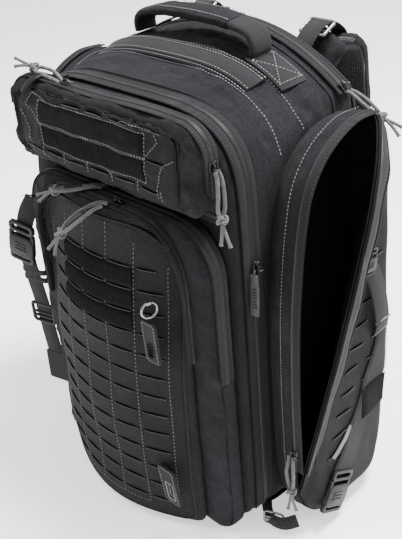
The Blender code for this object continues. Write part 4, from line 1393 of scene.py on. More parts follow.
def split_shell(obj, height):
    """Divides a mesh at a height into the part below and a new object above."""
    upper = obj.copy()
    upper.data = obj.data.copy()
    bpy.context.scene.collection.objects.link(upper)
    for piece, keep_above in ((obj, False), (upper, True)):
        work = bmesh.new()
        work.from_mesh(piece.data)
        gone = work.verts[:] + work.edges[:] + work.faces[:]
        bmesh.ops.bisect_plane(work, geom=gone, plane_co=(0, 0, height), plane_no=(0, 0, 1), dist=1e-6,
                               clear_inner=keep_above, clear_outer=not keep_above)
        work.to_mesh(piece.data)
        work.free()
        piece.data.update()
    return upper


def add_lower_pocket():
    """The pocket in three layers: a gusset on the panel, the middle tray and the front tray."""
    rings = grown_rings(arch(0.149, 0.005, 0.402, 0.055, 0.018),
                        ((-0.0050, -0.0783), (-0.0012, -0.0797), (0.0008, -0.0822), (0.0012, -0.0860),
                         (0.0, -0.0895), (-0.0010, -0.0912)))
    rear = shell("lower_rear_gusset", rings, "cloth", (0.0, -0.085, 0.2))
    crease(rear, 0.0011, (26.0, 20.0, 30.0), 3.0)
    solidify(rear, 0.0016)
    ride(rear, "front_panel", "pack_cloth", "lower_pocket")
    tray = arch(0.146, 0.008, 0.399, 0.053, 0.018)
    rings = grown_rings(tray, ((0.0, -0.0932), (0.0026, -0.0955), (0.0030, -0.0985), (0.0014, -0.1020),
                               (-0.0030, -0.1052), (-0.0100, -0.1072), (-0.0200, -0.1080),
                               (-0.0280, -0.1082)))
    middle = shell("lower_middle_tray", rings, "cloth", (0.0, -0.090, 0.2), 9, 0.0)

    def mask(place):
        edge = max(abs(place.x) - 0.118, place.z - 0.372)
        return ease(edge, -0.010, 0.006)
    crease(middle, 0.0030, (24.0, 20.0, 20.0), 6.0, mask)
    ride(middle, "lower_middle", "pack_cloth", "lower_pocket_middle")
    rings = grown_rings(tray, ((-0.0012, -0.0932), (-0.004, -0.1005), (-0.014, -0.1045)))
    lining = shell("lower_middle_lining", rings, "lining", (0.0, -0.120, 0.2), 8, 0.0)
    ride(lining, "lower_middle", "pack_cloth")
    line, outward = path_above(SECOND_ZIP, -0.0922, 0.214, 0.0012)
    zip_half("second_zip_panel_half", line, outward, 1, 0.0085, "front_panel")
    zip_half("second_zip_pocket_half", line, outward, -1, 0.0085, "lower_middle")
    add_bellows()
    add_front_tray()


def add_bellows():
    """The gusset below the second zip's ends, which opens like a bellows."""
    normal = outward_of(SECOND_ZIP)
    for side, word in SIDES:
        index = [i for i, (x, z) in enumerate(SECOND_ZIP) if z < 0.222 and side * x > 0.100]
        verts, rows = [], 7
        for i in index:
            for k in range(rows):
                share = k / (rows - 1)
                grow = 0.0022 + 0.0012 * math.sin(math.pi * share)
                x, z = SECOND_ZIP[i] + normal[i] * grow
                verts.append((x, -0.0835 - 0.0155 * share, max(z, 0.0006)))
        strip = put("bellows_" + word, verts, sheet_faces(len(index), rows), "cloth")
        orient(strip, (0.0, -0.090, 0.12))
        subdivide(strip)
        crease(strip, 0.0006, 40.0, 2.0 + side)
        solidify(strip, 0.0012)
        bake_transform(strip)


def add_front_tray():
    """The front tray: its wall, split where the face folds down, and its slotted face."""
    wall = shell("tray_wall", tray_rings(-0.1090), "cloth", (0.0, -0.115, 0.2))
    crease(wall, 0.0010, (28.0, 24.0, 26.0), 8.0)
    solidify(wall, 0.0014)
    upper = split_shell(wall, FOLD_Z + 0.0005)
    wall.name = "tray_wall_low"
    upper.name = "tray_wall_high"
    ride(wall, "lower_middle", "pack_cloth", "lower_pocket_boot")
    ride(upper, "lower_flap", "pack_cloth", "lower_pocket_flap")
    inside = arch_inside(FACE_HALF, FACE_LOW, FACE_HIGH, FACE_CORNER, FACE_FOOT)
    xs = np.linspace(-FACE_HALF, FACE_HALF, 49)
    zs = np.linspace(FACE_LOW, FACE_HIGH, 75)
    face = slotted_sheet("pocket_face", xs, zs, lower_slots(), lower_place, inside, "cloth_laminate")
    blend_fold(face)
    blend_fold(slot_lips("pocket_slot_lips", lower_slots(), lower_place))
    backing = slotted_sheet("pocket_face_backing", xs[::2], zs[::2], [],
                            lambda x, z, lift: lower_place(x, z, lift - 0.0034), inside, "cloth_shadow",
                            0.0010)
    blend_fold(backing)
    edge_outline = arch(FACE_HALF + 0.0006, FACE_LOW, FACE_HIGH, FACE_CORNER, FACE_FOOT)
    edge = np.array([tuple(lower_place(x, z, -0.0004)) for x, z in edge_outline])
    blend_fold(tube("face_edge_seam", resample(looped(edge), 0.005), 0.0012, "tape", 8))
    columns = []
    for step in range(-2, 4):
        x = COLUMN * (step - 0.5)
        top = 0.385 - 0.495 * max(0.0, abs(x) - 0.03)
        low = 0.030 if abs(x) < 0.09 else 0.060
        columns.append([(x, low), (x, top)])
    columns.append([(-0.0572, 0.0295), (0.0572, 0.0295)])
    blend_fold(laid_stitches("pocket_face_stitches", columns, lower_place, "thread_light", 0.0046, 0.0026,
                             0.0007))
    line, outward = path_above(arch(0.1168, 0.008, 0.3988, 0.0605, 0.016), -0.1086, FOLD_Z + 0.002, 0.0016)
    zip_half("front_zip_pocket_half", line, outward, 1, 0.0080, "lower_middle")
    zip_half("front_zip_flap_half", line, outward, -1, 0.0080, "lower_flap")
    for number in range(3):
        low = SLOT_TOP - ROW * (number + 1) + 0.0028
        strip = laid_strip("pocket_loop_strip_%d" % (number + 1), -0.0560, 0.0560, low, low + 0.0200,
                           lower_place, "pile", 0.0016, 0.0010, 34, 0.0009)
        ride(strip, "lower_flap", "hook_loop", *(["lower_loop_field"] if number == 0 else []))


def blend_fold(piece):
    """Bakes the transform of a piece of the slotted face into its mesh."""
    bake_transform(piece)


# ------------------------------------------------------------------ upper pocket

UPPER_SLOT_ROWS = [(0.4975, (-0.030, 0.008, 0.046, 0.090)), (0.4680, (-0.068, -0.030, 0.008, 0.046, 0.098)),
                   (0.4370, (-0.106, -0.068, -0.030, 0.008, 0.046, 0.084))]


def upper_place(x, z, lift):
    """A point of the upper pocket's puffed face, lift metres in front of it."""
    wide, tall = x / 0.150, (z - 0.4620) / 0.050
    puff = 0.0052 * max(0.0, 1 - wide ** 2) ** 0.5 * max(0.0, 1 - tall ** 2) ** 0.6
    sag = 0.0014 * math.sin(x * 41.0 + z * 22.0) + 0.0008 * math.sin(x * 95.0 - z * 60.0)
    lean = 0.0040 * tall
    spot = Vector((x * 23.0 + 3.0, z * 40.0, 1.7))
    fold = 0.0022 * noise.fractal(spot, 0.8, 2.0, 3)
    fold += 0.0016 * max(0.0, 1.0 - 3.0 * abs(noise.noise(spot * 1.3))) ** 2
    return Vector((x, -0.1076 - puff - sag - fold + lean * 0.5 - lift, z - 0.12 * lift))


def add_upper_pocket():
    """The small pocket above: a gusset, the opening lid and its slotted face."""
    outline = arch(0.147, 0.418, 0.507, 0.030, 0.018)
    rings = grown_rings(outline, ((-0.0070, -0.0783), (-0.0016, -0.0800), (0.0012, -0.0830),
                                  (0.0020, -0.0870), (0.0004, -0.0905), (-0.0008, -0.0916)))
    rear = shell("upper_rear_gusset", rings, "cloth", (0.0, -0.085, 0.46))
    crease(rear, 0.0016, (24.0, 20.0, 26.0), 13.0)
    solidify(rear, 0.0014)
    ride(rear, "front_panel", "pack_cloth", "upper_pocket")
    rings = grown_rings(outline, ((-0.0008, -0.0928), (0.0018, -0.0955), (0.0022, -0.0990), (0.0004, -0.1030),
                                  (-0.0040, -0.1062), (-0.0100, -0.1082)))
    for share in (0.90, 0.80, 0.66, 0.50, 0.33, 0.16):
        ring = []
        for x, z in outline:
            px, pz = x * (share + 0.02), 0.4625 + (z - 0.4625) * share
            ring.append(tuple(upper_place(px, pz, -0.0026)))
        rings.append(np.array(ring))
    lid = shell("upper_lid_cloth", rings, "cloth", (0.0, -0.090, 0.46), 1)

    def mask(place):
        edge = max(abs(place.x) - 0.126, abs(place.z - 0.4640) - 0.0385)
        return ease(edge, 0.0, 0.012)
    crease(lid, 0.0042, (20.0, 24.0, 24.0), 17.0, mask)
    crease(lid, 0.0018, (46.0, 60.0, 60.0), 19.0, mask)
    ride(lid, "upper_lid", "pack_cloth", "upper_pocket_lid")
    rings = grown_rings(outline, ((-0.0024, -0.0928), (-0.0030, -0.0985), (-0.0100, -0.1035),
                                  (-0.0200, -0.1045)))
    lining = shell("upper_lid_lining", rings, "lining", (0.0, -0.120, 0.46), 6)
    ride(lining, "upper_lid", "pack_cloth")
    line, outward = path_above(outline, -0.0922, 0.436, 0.0020)
    wave = np.array([0.0011 * math.sin(i * 0.42) * math.exp(-((i - len(line) / 2) / 22.0) ** 2)
                     for i in range(len(line))])
    line = line + outward * wave[:, None]
    zip_half("upper_zip_panel_half", line, outward, 1, 0.0080, "front_panel")
    zip_half("upper_zip_lid_half", line, outward, -1, 0.0080, "upper_lid")
    inside = arch_inside(0.1240, 0.4270, 0.5010, 0.022, 0.014)
    slots = [(x, z, 0.0150) for z, centres in UPPER_SLOT_ROWS for x in centres]
    face = slotted_sheet("upper_face", np.linspace(-0.124, 0.124, 51), np.linspace(0.427, 0.501, 19), slots,
                         upper_place, inside, "cloth_laminate")
    ride(face, "upper_lid", "pack_cloth")
    ride(slot_lips("upper_slot_lips", slots, upper_place), "upper_lid", "pack_cloth")
    xs, zs = np.linspace(-0.122, 0.122, 21), np.linspace(0.429, 0.499, 9)
    backing = slotted_sheet("upper_face_backing", xs, zs, [], lambda x, z, lift: upper_place(x, z, -0.0021),
                            inside, "cloth_shadow", 0.0006)
    ride(backing, "upper_lid", "pack_cloth")
    plain = laid_strip("upper_pile_strip", -0.0840, 0.0790, 0.4708, 0.4918, upper_place, "pile", 0.0015,
                       0.0004)
    ride(plain, "upper_lid", "hook_loop", "upper_loop_field")
    ribs = laid_strip("upper_ribbed_strip", -0.0840, 0.0790, 0.4445, 0.4655, upper_place, "pile", 0.0013,
                      0.0004, 46, 0.0009)
    ride(ribs, "upper_lid", "hook_loop")
    rows = [[(-0.086, 0.4935), (0.081, 0.4935)], [(-0.086, 0.4688), (0.081, 0.4688)],
            [(-0.086, 0.4672), (0.081, 0.4672)], [(-0.086, 0.4428), (0.081, 0.4428)],
            [(0.081, 0.4428), (0.081, 0.4935)], [(-0.086, 0.4428), (-0.086, 0.4935)],
            [(0.040, 0.4935), (0.052, 0.5000), (0.090, 0.4975), (0.098, 0.4880), (0.082, 0.4700)],
            [(0.122, 0.4760), (0.105, 0.4660), (0.098, 0.4440), (0.098, 0.4300)],
            [(-0.070, 0.4935), (-0.098, 0.4995), (-0.110, 0.4850), (-0.086, 0.4700)],
            [(-0.122, 0.4760), (-0.108, 0.4560), (-0.112, 0.4300)]]
    rows += [[(-0.087 + COLUMN * k, 0.430), (-0.087 + COLUMN * k, 0.4425)] for k in range(6)]
    sewn = laid_stitches("upper_face_stitches", rows, upper_place)
    ride(sewn, "upper_lid", "pack_cloth")
    for side, word in SIDES:
        path = [(0.1465, -0.0930, 0.424), (0.1400, -0.1020, 0.4235), (0.1280, -0.1072, 0.4250),
                (0.1240, -0.1090, 0.4400), (0.1245, -0.1090, 0.4700), (0.1250, -0.1080, 0.4920)]
        seam = tube("upper_corner_seam_" + word, spline(mirrored(path, side), 0.004), 0.0008, "tape", 8)
        ride(seam, "upper_lid", "pack_cloth")


# ------------------------------------------------------------------ side pockets

RIM_CURVE = [(-0.047, 0.100), (-0.048, 0.140), (-0.049, 0.198), (-0.047, 0.287), (-0.042, 0.344),
             (-0.034, 0.396), (-0.022, 0.436), (0.004, 0.465), (0.042, 0.481), (0.078, 0.480)]
REST_CURVE = [(0.098, 0.462), (0.106, 0.430), (0.108, 0.300), (0.108, 0.120), (0.100, 0.040),
              (0.078, 0.014), (0.030, 0.010), (-0.012, 0.014), (-0.036, 0.036), (-0.045, 0.070)]
SIDE_FACE_X = SIDE_RIM_X + 0.0125
HINGE_SOFT = 0.010
ALONG = (DOOR_HIGH - DOOR_LOW).normalized()
ACROSS = Vector((0.0, -ALONG.z, ALONG.y))


def side_outline():
    """The closed outline of a side pocket in (y, z), softened and running one way round."""
    knots = [(0.0, y, z) for y, z in reversed(RIM_CURVE + REST_CURVE)]
    loop = spline(knots, 0.009, True)[:-1, 1:]
    area = np.sum(loop[:, 0] * np.roll(loop[:, 1], -1) - np.roll(loop[:, 0], -1) * loop[:, 1])
    return soften(loop if area > 0 else loop[::-1], 1)


SIDE_LOOP = side_outline()
SIDE_OUT = outward_of(SIDE_LOOP)


def nearest_rim(y, z):
    """The nearest point of the side outline, and the distance, positive inside."""
    here = np.array((y, z))
    ahead = np.roll(SIDE_LOOP, -1, axis=0) - SIDE_LOOP
    share = np.clip(np.sum((here - SIDE_LOOP) * ahead, axis=1) / np.sum(ahead * ahead, axis=1), 0.0, 1.0)
    foot = SIDE_LOOP + ahead * share[:, None]
    away = here - foot
    reach = np.linalg.norm(away, axis=1)
    i = int(np.argmin(reach))
    outside = float(np.dot(away[i], SIDE_OUT[i])) > 0
    return foot[i], -reach[i] if outside else reach[i]


def side_inside(y, z):
    """Moves a point of the outer face to the pocket's rim when it lies outside, and says how far."""
    foot, depth = nearest_rim(y, z)
    if depth >= 0:
        return y, z, 0.0
    return float(foot[0]), float(foot[1]), -float(depth)


def swing(side, place):
    """Turns a point of the closed side face to where it is with its door as it rests."""
    if side < 0:
        return Vector((-place.x, place.y, place.z))
    rel = place - DOOR_LOW
    angle = 0.0
    turned = rel
    for _ in range(26):
        turned = Matrix.Rotation(angle, 3, ALONG) @ rel
        share = ease(turned.dot(ACROSS), -HINGE_SOFT, HINGE_SOFT)
        angle = 0.5 * angle + 0.5 * DOOR_OPEN * share
    return DOOR_LOW + turned


def side_place(side):
    """Makes the placing of (y, z, lift) points on one side pocket's outer face, as it rests."""
    def place(y, z, lift):
        _, depth = nearest_rim(y, z)
        rise = ease(depth, -0.006, 0.020)
        pillow = 0.0020 * math.sin(y * 38.0 + 0.6) * math.sin(z * 17.0)
        pillow += 0.0008 * math.sin(y * 90.0 + z * 70.0)
        x = SIDE_RIM_X + 0.0008 + (SIDE_FACE_X - SIDE_RIM_X) * rise + pillow * rise
        return swing(side, Vector((x + lift, y, z)))
    return place


def blend_door(piece, side, word):
    """Bakes the transform of a piece of the outer face into its mesh."""
    start, end = DOOR_LOW - ACROSS * HINGE_SOFT, DOOR_LOW + ACROSS * HINGE_SOFT
    start.x *= side
    end.x *= side
    tuple(start)
    tuple(end)
    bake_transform(piece)


SIDE_SLOT_MARGIN = 0.030  # closest a slot's middle comes to the rim
SIDE_SLOT_HALF = 0.0125


def side_slots():
    """The laser-cut slots of a side pocket's outer face, in columns that lean with the fold line."""
    slots = []
    for row in range(14):
        z = 0.428 - ROW * row
        lean = DOOR_LOW.y + (z - DOOR_LOW.z) * ALONG.y / ALONG.z
        for centre in (lean + 0.034, lean + 0.034 + COLUMN, lean - 0.030):
            if nearest_rim(centre, z)[1] > SIDE_SLOT_MARGIN:
                slots.append((centre, z, SIDE_SLOT_HALF))
    return slots


def add_side_pocket(side, word):
    """One side pocket: wall, back, outer face that opens, lining and zip."""
    centre = (side * 0.18, 0.03, 0.25)

    def ring(grow, x):
        loop = SIDE_LOOP + SIDE_OUT * grow
        return np.stack((np.full(len(loop), side * x), loop[:, 0], np.maximum(loop[:, 1], 0.0006)), axis=1)

    profile = ((-0.0105, 0.1648), (-0.0070, 0.1690), (-0.0040, 0.1745), (-0.0012, 0.1820), (0.0006, 0.1900),
               (0.0010, 0.1980), (0.0004, SIDE_RIM_X - 0.0008))
    rings = [ring(grow, x) for grow, x in profile]
    gusset = shell("side_gusset_" + word, rings, "cloth", centre)

    def mask(place):
        reach = abs(place.x)
        return ease(reach, 0.166, 0.178) * (1.0 - 0.75 * ease(reach, 0.190, 0.204))
    crease(gusset, 0.0036, (30.0, 16.0, 11.0), 21.0 + side, mask)
    crease(gusset, 0.0014, (50.0, 44.0, 38.0), 23.0 + side, mask)
    ride(gusset, "pack", "pack_cloth", "side_pocket_" + word)
    add_lining(gusset, "side_gusset_lining_" + word, 0.0020)
    wall = [ring(-0.0125, 0.1690), ring(-0.022, 0.1694)]
    wall = shell("side_pocket_back_" + word, wall, "lining", (0.0, 0.03, 0.25), 8, 0.0)
    ride(wall, "pack", "pack_cloth")
    piping("side_base_seam_" + word, looped(ring(-0.0096, 0.1668)), 0.0016, "tape", "pack")
    place = side_place(side)
    ys = np.linspace(-0.050, 0.110, 37)
    zs = np.linspace(0.009, 0.482, 101)
    face = slotted_sheet("side_face_" + word, ys, zs, side_slots(), place, side_inside, "cloth_laminate")
    orient_solid(face)
    blend_door(slot_lips("side_slot_lips_" + word, side_slots(), place), side, word)
    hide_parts("side_cover_" + word, "pocket_door_" + word)
    blend_door(face, side, word)
    inner = slotted_sheet("side_face_lining_" + word, ys[::2], zs[::2], [],
                          lambda y, z, lift: place(y, z, lift - 0.0030), side_inside, "lining", 0.0008)
    orient_solid(inner)
    blend_door(inner, side, word)
    add_side_zip(side, word, place)


def orient_solid(obj):
    """Turns a closed piece's faces outwards."""
    work = bmesh.new()
    work.from_mesh(obj.data)
    bmesh.ops.recalc_face_normals(work, faces=work.faces)
    work.to_mesh(obj.data)
    work.free()
    obj.data.update()


def rim_points():
    """The rim's zip run in the YZ plane with its outward normals, from its foot to its top."""
    fine = spline([(0.0, y, z) for y, z in RIM_CURVE], 0.004)[:, 1:]
    ahead = np.gradient(fine, axis=0)
    ahead /= np.linalg.norm(ahead, axis=1)[:, None]
    out = np.stack((-ahead[:, 1], ahead[:, 0]), axis=1)
    return fine, out


def add_side_zip(side, word, place):
    """The two halves of a side pocket's zip and the seams beside them."""
    fine, out = rim_points()
    x = side * (SIDE_RIM_X - 0.0010)
    line = np.array([(x, y + ny * 0.0016, z + nz * 0.0016) for (y, z), (ny, nz) in zip(fine, out)])
    normals = np.array([(0.0, ny, nz) for ny, nz in out])
    zip_half("side_zip_gusset_half_" + word, line, normals, side, 0.0100, "pack")
    rows = line + np.array([-side * 0.0155, 0.0, 0.0])
    sewn = stitches("side_gusset_stitches_" + word, [(rows, normals)], "thread_light", 0.0040, 0.0026, 0.0008)
    ride(sewn, "pack", "pack_cloth")
    points, faces_out = raised_row(fine - out * 0.0010, place, 0.0006)
    tape = door_tape(word, place, fine, out)
    coil = teeth("side_zip_coil_" + word, points + faces_out * 0.0006, faces_out, -side * 0.0006)
    for piece in (tape, coil):
        blend_door(piece, side, word)
    row, outward = raised_row(fine - out * 0.0120, place, 0.0004)
    sewn = stitches("side_door_stitches_" + word, [(row, outward)], "thread_light", 0.0040, 0.0026, 0.0008)
    blend_door(sewn, side, word)
    edge, _ = raised_row(fine - out * 0.0180, place, 0.0004)
    blend_door(tube("side_door_seam_" + word, edge, 0.0011, "tape", 8), side, word)


def raised_row(spots, place, lift):
    """Points of a placed face, lift above it, with the face's own outward normals."""
    points, normals = [], []
    for y, z in spots:
        low, high = place(y, z, lift), place(y, z, lift + 0.0060)
        points.append(tuple(low))
        normals.append(tuple((high - low).normalized()))
    return np.array(points), np.array(normals)


def door_tape(word, place, fine, out):
    """The tape on the door's edge, laid over the domed face."""
    verts, uvs = [], []
    steps = (0.0, 0.0025, 0.0050, 0.0075, 0.0105)
    run = 0.0
    for i, ((y, z), (ny, nz)) in enumerate(zip(fine, out)):
        if i:
            run += float(np.linalg.norm(fine[i] - fine[i - 1]))
        for depth in steps:
            verts.append(place(y - ny * depth, z - nz * depth, 0.0012))
            uvs.append((depth, run))
    tape = put("side_zip_door_half_" + word, verts, sheet_faces(len(fine), len(steps)), "tape", True, uvs)
    solidify(tape, 0.0010, 0.0)
    orient_solid(tape)
    return tape


# ------------------------------------------------------------------ handle, straps and back

HANDLE_Y = 0.050
BOX_SEAM = 0.0165  # half the width of the stitched box on a handle anchor


def soft_band(name, points, normals, width, thickness, shade, crown=0.35, sides=20):
    """A padded strap: an oval section with full edges."""
    places, _, across, outward = frames_along(points, normals)
    verts, uvs, run = [], [], 0.0
    for i, place in enumerate(places):
        if i:
            run += float(np.linalg.norm(place - places[i - 1]))
        for k in range(sides):
            turn = 2 * math.pi * k / sides
            c, s = math.cos(turn), math.sin(turn)
            a = math.copysign(abs(c) ** crown, c) * width / 2
            b = math.copysign(abs(s) ** (crown + 0.25), s) * thickness / 2
            verts.append(place + across[i] * a + outward[i] * b)
            uvs.append((a, run))
    rows = len(places)
    return put(name, verts, close_ends(sheet_faces(rows, sides, True), rows, sides), shade, True, uvs)


def band_edges(points, normals, width, thickness, inset):
    """Two rows along a band's upper edges, with their normals."""
    places, _, across, outward = frames_along(points, normals)
    lift = outward * (thickness / 2 + 0.0003)
    return [(places + across * (side * (width / 2 - inset)) + lift, outward) for side in (1, -1)]


def add_handle():
    """The padded grip bent at its sewn feet, with its cloth wrap and two box-stitched anchors."""
    route = [(0.087, 0.5285), (0.087, 0.5400), (0.078, 0.5505), (0.050, 0.5560), (0.015, 0.5580)]
    route += [(-x, z) for x, z in reversed(route)]
    points = spline([(x, HANDLE_Y, z) for x, z in route], 0.004)
    normals = np.array([(p[0], 0.0, p[2] - 0.440) for p in points])
    grip = soft_band("handle_grip", points, normals, 0.030, 0.0085, "webbing_y", 0.42)
    crease(grip, 0.0008, 45.0, 31.0)
    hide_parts("grab_handle")
    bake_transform(grip)
    wrap_points = np.array([p for p in points if abs(p[0]) < 0.060])
    wrap_normals = np.array([(p[0], 0.0, p[2] - 0.440) for p in wrap_points])
    wrap = soft_band("handle_wrap", wrap_points, wrap_normals, 0.0345, 0.0108, "cloth", 0.42)
    crease(wrap, 0.0010, 38.0, 33.0)
    ride(wrap, "grab_handle", "pack_cloth")
    sewn = stitches("handle_stitches", band_edges(wrap_points, wrap_normals, 0.0345, 0.0106, 0.0045))
    ride(sewn, "grab_handle", "webbing")
    for side, word in SIDES:
        xs = np.linspace(0.083, 0.131, 18) * side
        points = np.array([(x, HANDLE_Y, top_of(x, HANDLE_Y, 0.0012) + 0.0016) for x in xs])
        up = np.array([(0.9 * x, 0.0, 1.0) for x in xs])
        patch = strap("handle_anchor_cloth_" + word, points, up, 0.0400, 0.0021, "webbing_y", 0.0)
        ride(patch, "pack", "webbing", "handle_anchor_" + word)
        places, _, across, outward = frames_along(points, up)
        lift = outward * 0.0022
        inner = slice(2, -2)
        rows = [(places[inner] + across[inner] * s + lift[inner], outward[inner])
                for s in (BOX_SEAM, -BOX_SEAM)]
        for i in (2, -3):
            ends = [places[i] + across[i] * s + lift[i] for s in (-BOX_SEAM, BOX_SEAM)]
            rows.append((np.array(ends), outward[i]))
        for sign in (1, -1):
            shift = np.linspace(-BOX_SEAM, BOX_SEAM, len(places) - 4)[:, None] * sign
            rows.append((places[inner] + across[inner] * shift + lift[inner], outward[inner]))
        sewn = stitches("handle_box_stitches_" + word, rows)
        ride(sewn, "pack", "webbing")


def add_pads():
    """The two back pads and the lumbar pad."""
    for side, word in SIDES:
        outline = arch(0.031, 0.190, 0.430, 0.022, 0.022)
        outline[:, 0] += side * 0.044
        make_pad("back_pad_cloth_" + word, outline, 0.0165, "back_pad_" + word, (side * 0.044, 0.1, 0.31), 4)
    outline = arch(0.115, 0.040, 0.165, 0.035, 0.035)
    make_pad("lumbar_pad_cloth", outline, 0.0235, "lumbar_pad", (0.0, 0.1, 0.10), 3)


def make_pad(name, outline, height, node, centre, channels):
    """A quilted foam pad under spacer mesh, with a bound edge."""
    low_y = REAR_Y + 0.0035
    profile = ((0.0, 0.0), (0.0004, 0.30), (0.0, 0.62), (-0.0022, 0.84), (-0.0060, 0.95), (-0.0110, 1.0))
    rings = grown_rings(outline, [(grow, low_y + (height - 0.0035) * share) for grow, share in profile])
    pad = shell(name, rings, "knit", (centre[0], 0.09, centre[2]), 9, 0.0012)
    low, high = outline[:, 1].min(), outline[:, 1].max()
    for vert in pad.data.vertices:
        if vert.co.y > low_y + 0.6 * height:
            run = (vert.co.z - low) / (high - low) * channels
            groove = math.exp(-((run - round(run)) * 9.0) ** 2) if 0.4 < run < channels - 0.4 else 0.0
            depth = ease(vert.co.y, low_y + 0.6 * height, low_y + 0.95 * height)
            vert.co.y -= 0.0045 * groove * depth
    crease(pad, 0.0010, 34.0, 41.0)
    ride(pad, "pack", "spacer_mesh", node)
    edge = grown_rings(outline, [(0.0008, low_y + 0.0012)])[0]
    piping(name + "_binding", looped(edge), 0.0018, "tape", "pack")


def add_shoulder_straps():
    """The shoulder straps with their mesh lining, the yokes and the webbing at both ends."""
    for side, word in SIDES:
        path = [(0.096, 0.164, 0.516), (0.099, 0.173, 0.498), (0.103, 0.176, 0.420), (0.106, 0.170, 0.320),
                (0.106, 0.158, 0.220), (0.097, 0.147, 0.140)]
        points = spline(mirrored(path, side), 0.005)
        normals = turned_up(points, 1)
        pad = soft_band("shoulder_pad_" + word, points, normals, 0.064, 0.0125, "cloth", 0.30, 28)
        crease(pad, 0.0016, (30.0, 30.0, 16.0), 51.0 + side)
        ride(pad, "strap_" + word, "spacer_mesh", "shoulder_strap_" + word)
        under = points - 0.0032 * normals / np.linalg.norm(normals, axis=1)[:, None]
        mesh = soft_band("shoulder_mesh_" + word, under, normals, 0.0600, 0.0082, "knit", 0.30, 24)
        ride(mesh, "strap_" + word, "spacer_mesh")
        rows = band_edges(points, normals, 0.064, 0.0125, 0.0070)
        sewn = stitches("shoulder_stitches_" + word, rows, "thread_dark")
        ride(sewn, "strap_" + word, "webbing")
        web = strap("shoulder_webbing_" + word, points[3:], normals[3:], 0.025, 0.0014, "webbing_x", 0.0062)
        ride(web, "strap_" + word, "webbing")
        yoke = [(0.068, REAR_Y + 0.0080, 0.440), (0.072, REAR_Y + 0.0130, 0.462), (0.080, 0.132, 0.485),
                (0.089, 0.146, 0.510), (0.095, 0.158, 0.519)]
        points = spline(mirrored(yoke, side), 0.005)
        yoke = soft_band("yoke_cloth_" + word, points, turned_up(points, 2), 0.062, 0.0110, "cloth", 0.30, 28)
        crease(yoke, 0.0014, 26.0, 61.0 + side)
        ride(yoke, "pack", "pack_cloth", "strap_yoke_" + word)
        add_load_lifter(side, word)
        add_strap_adjuster(side, word)


def wire_frame(name, width, height, wire, turn, place, shade):
    """A rectangular wire or cast ladder lock with rounded corners and two bars."""
    path = [Vector(place) + turn @ Vector((x, z, 0.0)) for x, z in oblong(width, height, 0.0035, 6)]
    pieces = [tube(name, resample(path + path[:1], 0.0015), wire, shade, 10)]
    for z in (0.0, -height * 0.22):
        ends = [Vector(place) + turn @ Vector((s * width / 2, z, 0.0)) for s in np.linspace(-1, 1, 7)]
        pieces.append(tube(name + "_bar", ends, wire * 0.8, shade, 10))
    return merge(name, pieces)


def add_load_lifter(side, word):
    """The ladder lock above a shoulder strap, with its webbing."""
    turn = Matrix.Rotation(math.radians(24), 3, "X")
    centre = Vector((side * 0.088, 0.141, 0.532))
    lock = wire_frame("ladder_lock_" + word, 0.033, 0.023, 0.0019, turn, centre, "steel")
    ride(lock, "pack", "steel", "load_lifter_lock_" + word)
    path = [(0.086, 0.1125, 0.505), (0.087, 0.1200, 0.520), (0.088, 0.1330, 0.5305), (0.088, 0.1430, 0.5345),
            (0.089, 0.1560, 0.5345), (0.091, 0.1700, 0.5240), (0.093, 0.1780, 0.5080)]
    points = spline(mirrored(path, side), 0.003)
    web = strap("load_lifter_webbing_" + word, points, turned_up(points, 2), 0.0245, 0.0014, "webbing_x")
    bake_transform(web)


def add_strap_adjuster(side, word):
    """The ladder lock below a shoulder strap, with the webbing down to the base."""
    turn = Matrix.Rotation(math.radians(90), 3, "X")
    place = Vector((side * 0.0965, 0.1455, 0.1150))
    lock = wire_frame("strap_ladder_lock_" + word, 0.034, 0.028, 0.0022, turn, place, "acetal")
    ride(lock, "strap_" + word, "acetal", "strap_adjuster_" + word)
    path = [(0.0965, 0.1500, 0.1180), (0.0970, 0.1440, 0.1040), (0.0980, 0.1400, 0.0850),
            (0.1000, 0.1320, 0.0600), (0.1050, 0.1230, 0.0300), (0.1100, 0.1150, 0.0180)]
    points = spline(mirrored(path, side), 0.004)
    web = strap("lower_strap_webbing_" + word, points, np.array([0.0, 1.0, 0.1]), 0.0245, 0.0014, "webbing_x")
    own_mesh(web)
    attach(web, "pack")


# ------------------------------------------------------------------ sliders, tabs and hardware

RIGHT = (1.0, 0.0, 0.0)
UP = (0.0, 0.0, 1.0)


def plate(name, outline, thickness, place, across, up, shade, hole=None, bevel=0.0004):
    """A flat piece: outline in (across, up), thickness along their cross product."""
    across, up = Vector(across).normalized(), Vector(up).normalized()
    out = across.cross(up).normalized()
    centre = Vector(place)
    loops = [outline] if hole is None else [outline, hole]
    if hole is not None:
        count = max(len(outline), len(hole))
        loops = [resample_loop(loop, count) for loop in loops]
    verts, faces = [], []
    for loop in loops:
        for depth in (-0.5, 0.5):
            verts += [centre + across * float(a) + up * float(b) + out * (depth * thickness) for a, b in loop]
    n = len(loops[0])
    if hole is None:
        faces.append(tuple(reversed(range(n))))
        faces.append(tuple(range(n, 2 * n)))
        faces += [(i, (i + 1) % n, n + (i + 1) % n, n + i) for i in range(n)]
    else:
        for i in range(n):
            j = (i + 1) % n
            faces.append((i, j, n + j, n + i))
            faces.append((2 * n + j, 2 * n + i, 3 * n + i, 3 * n + j))
            faces.append((j, i, 2 * n + i, 2 * n + j))
            faces.append((n + i, n + j, 3 * n + j, 3 * n + i))
    made = put(name, verts, faces, shade, False)
    if bevel:
        edge = made.modifiers.new("bevel", "BEVEL")
        edge.width = bevel
        edge.segments = 2
        edge.limit_method = "ANGLE"
        bake(made)
    return made


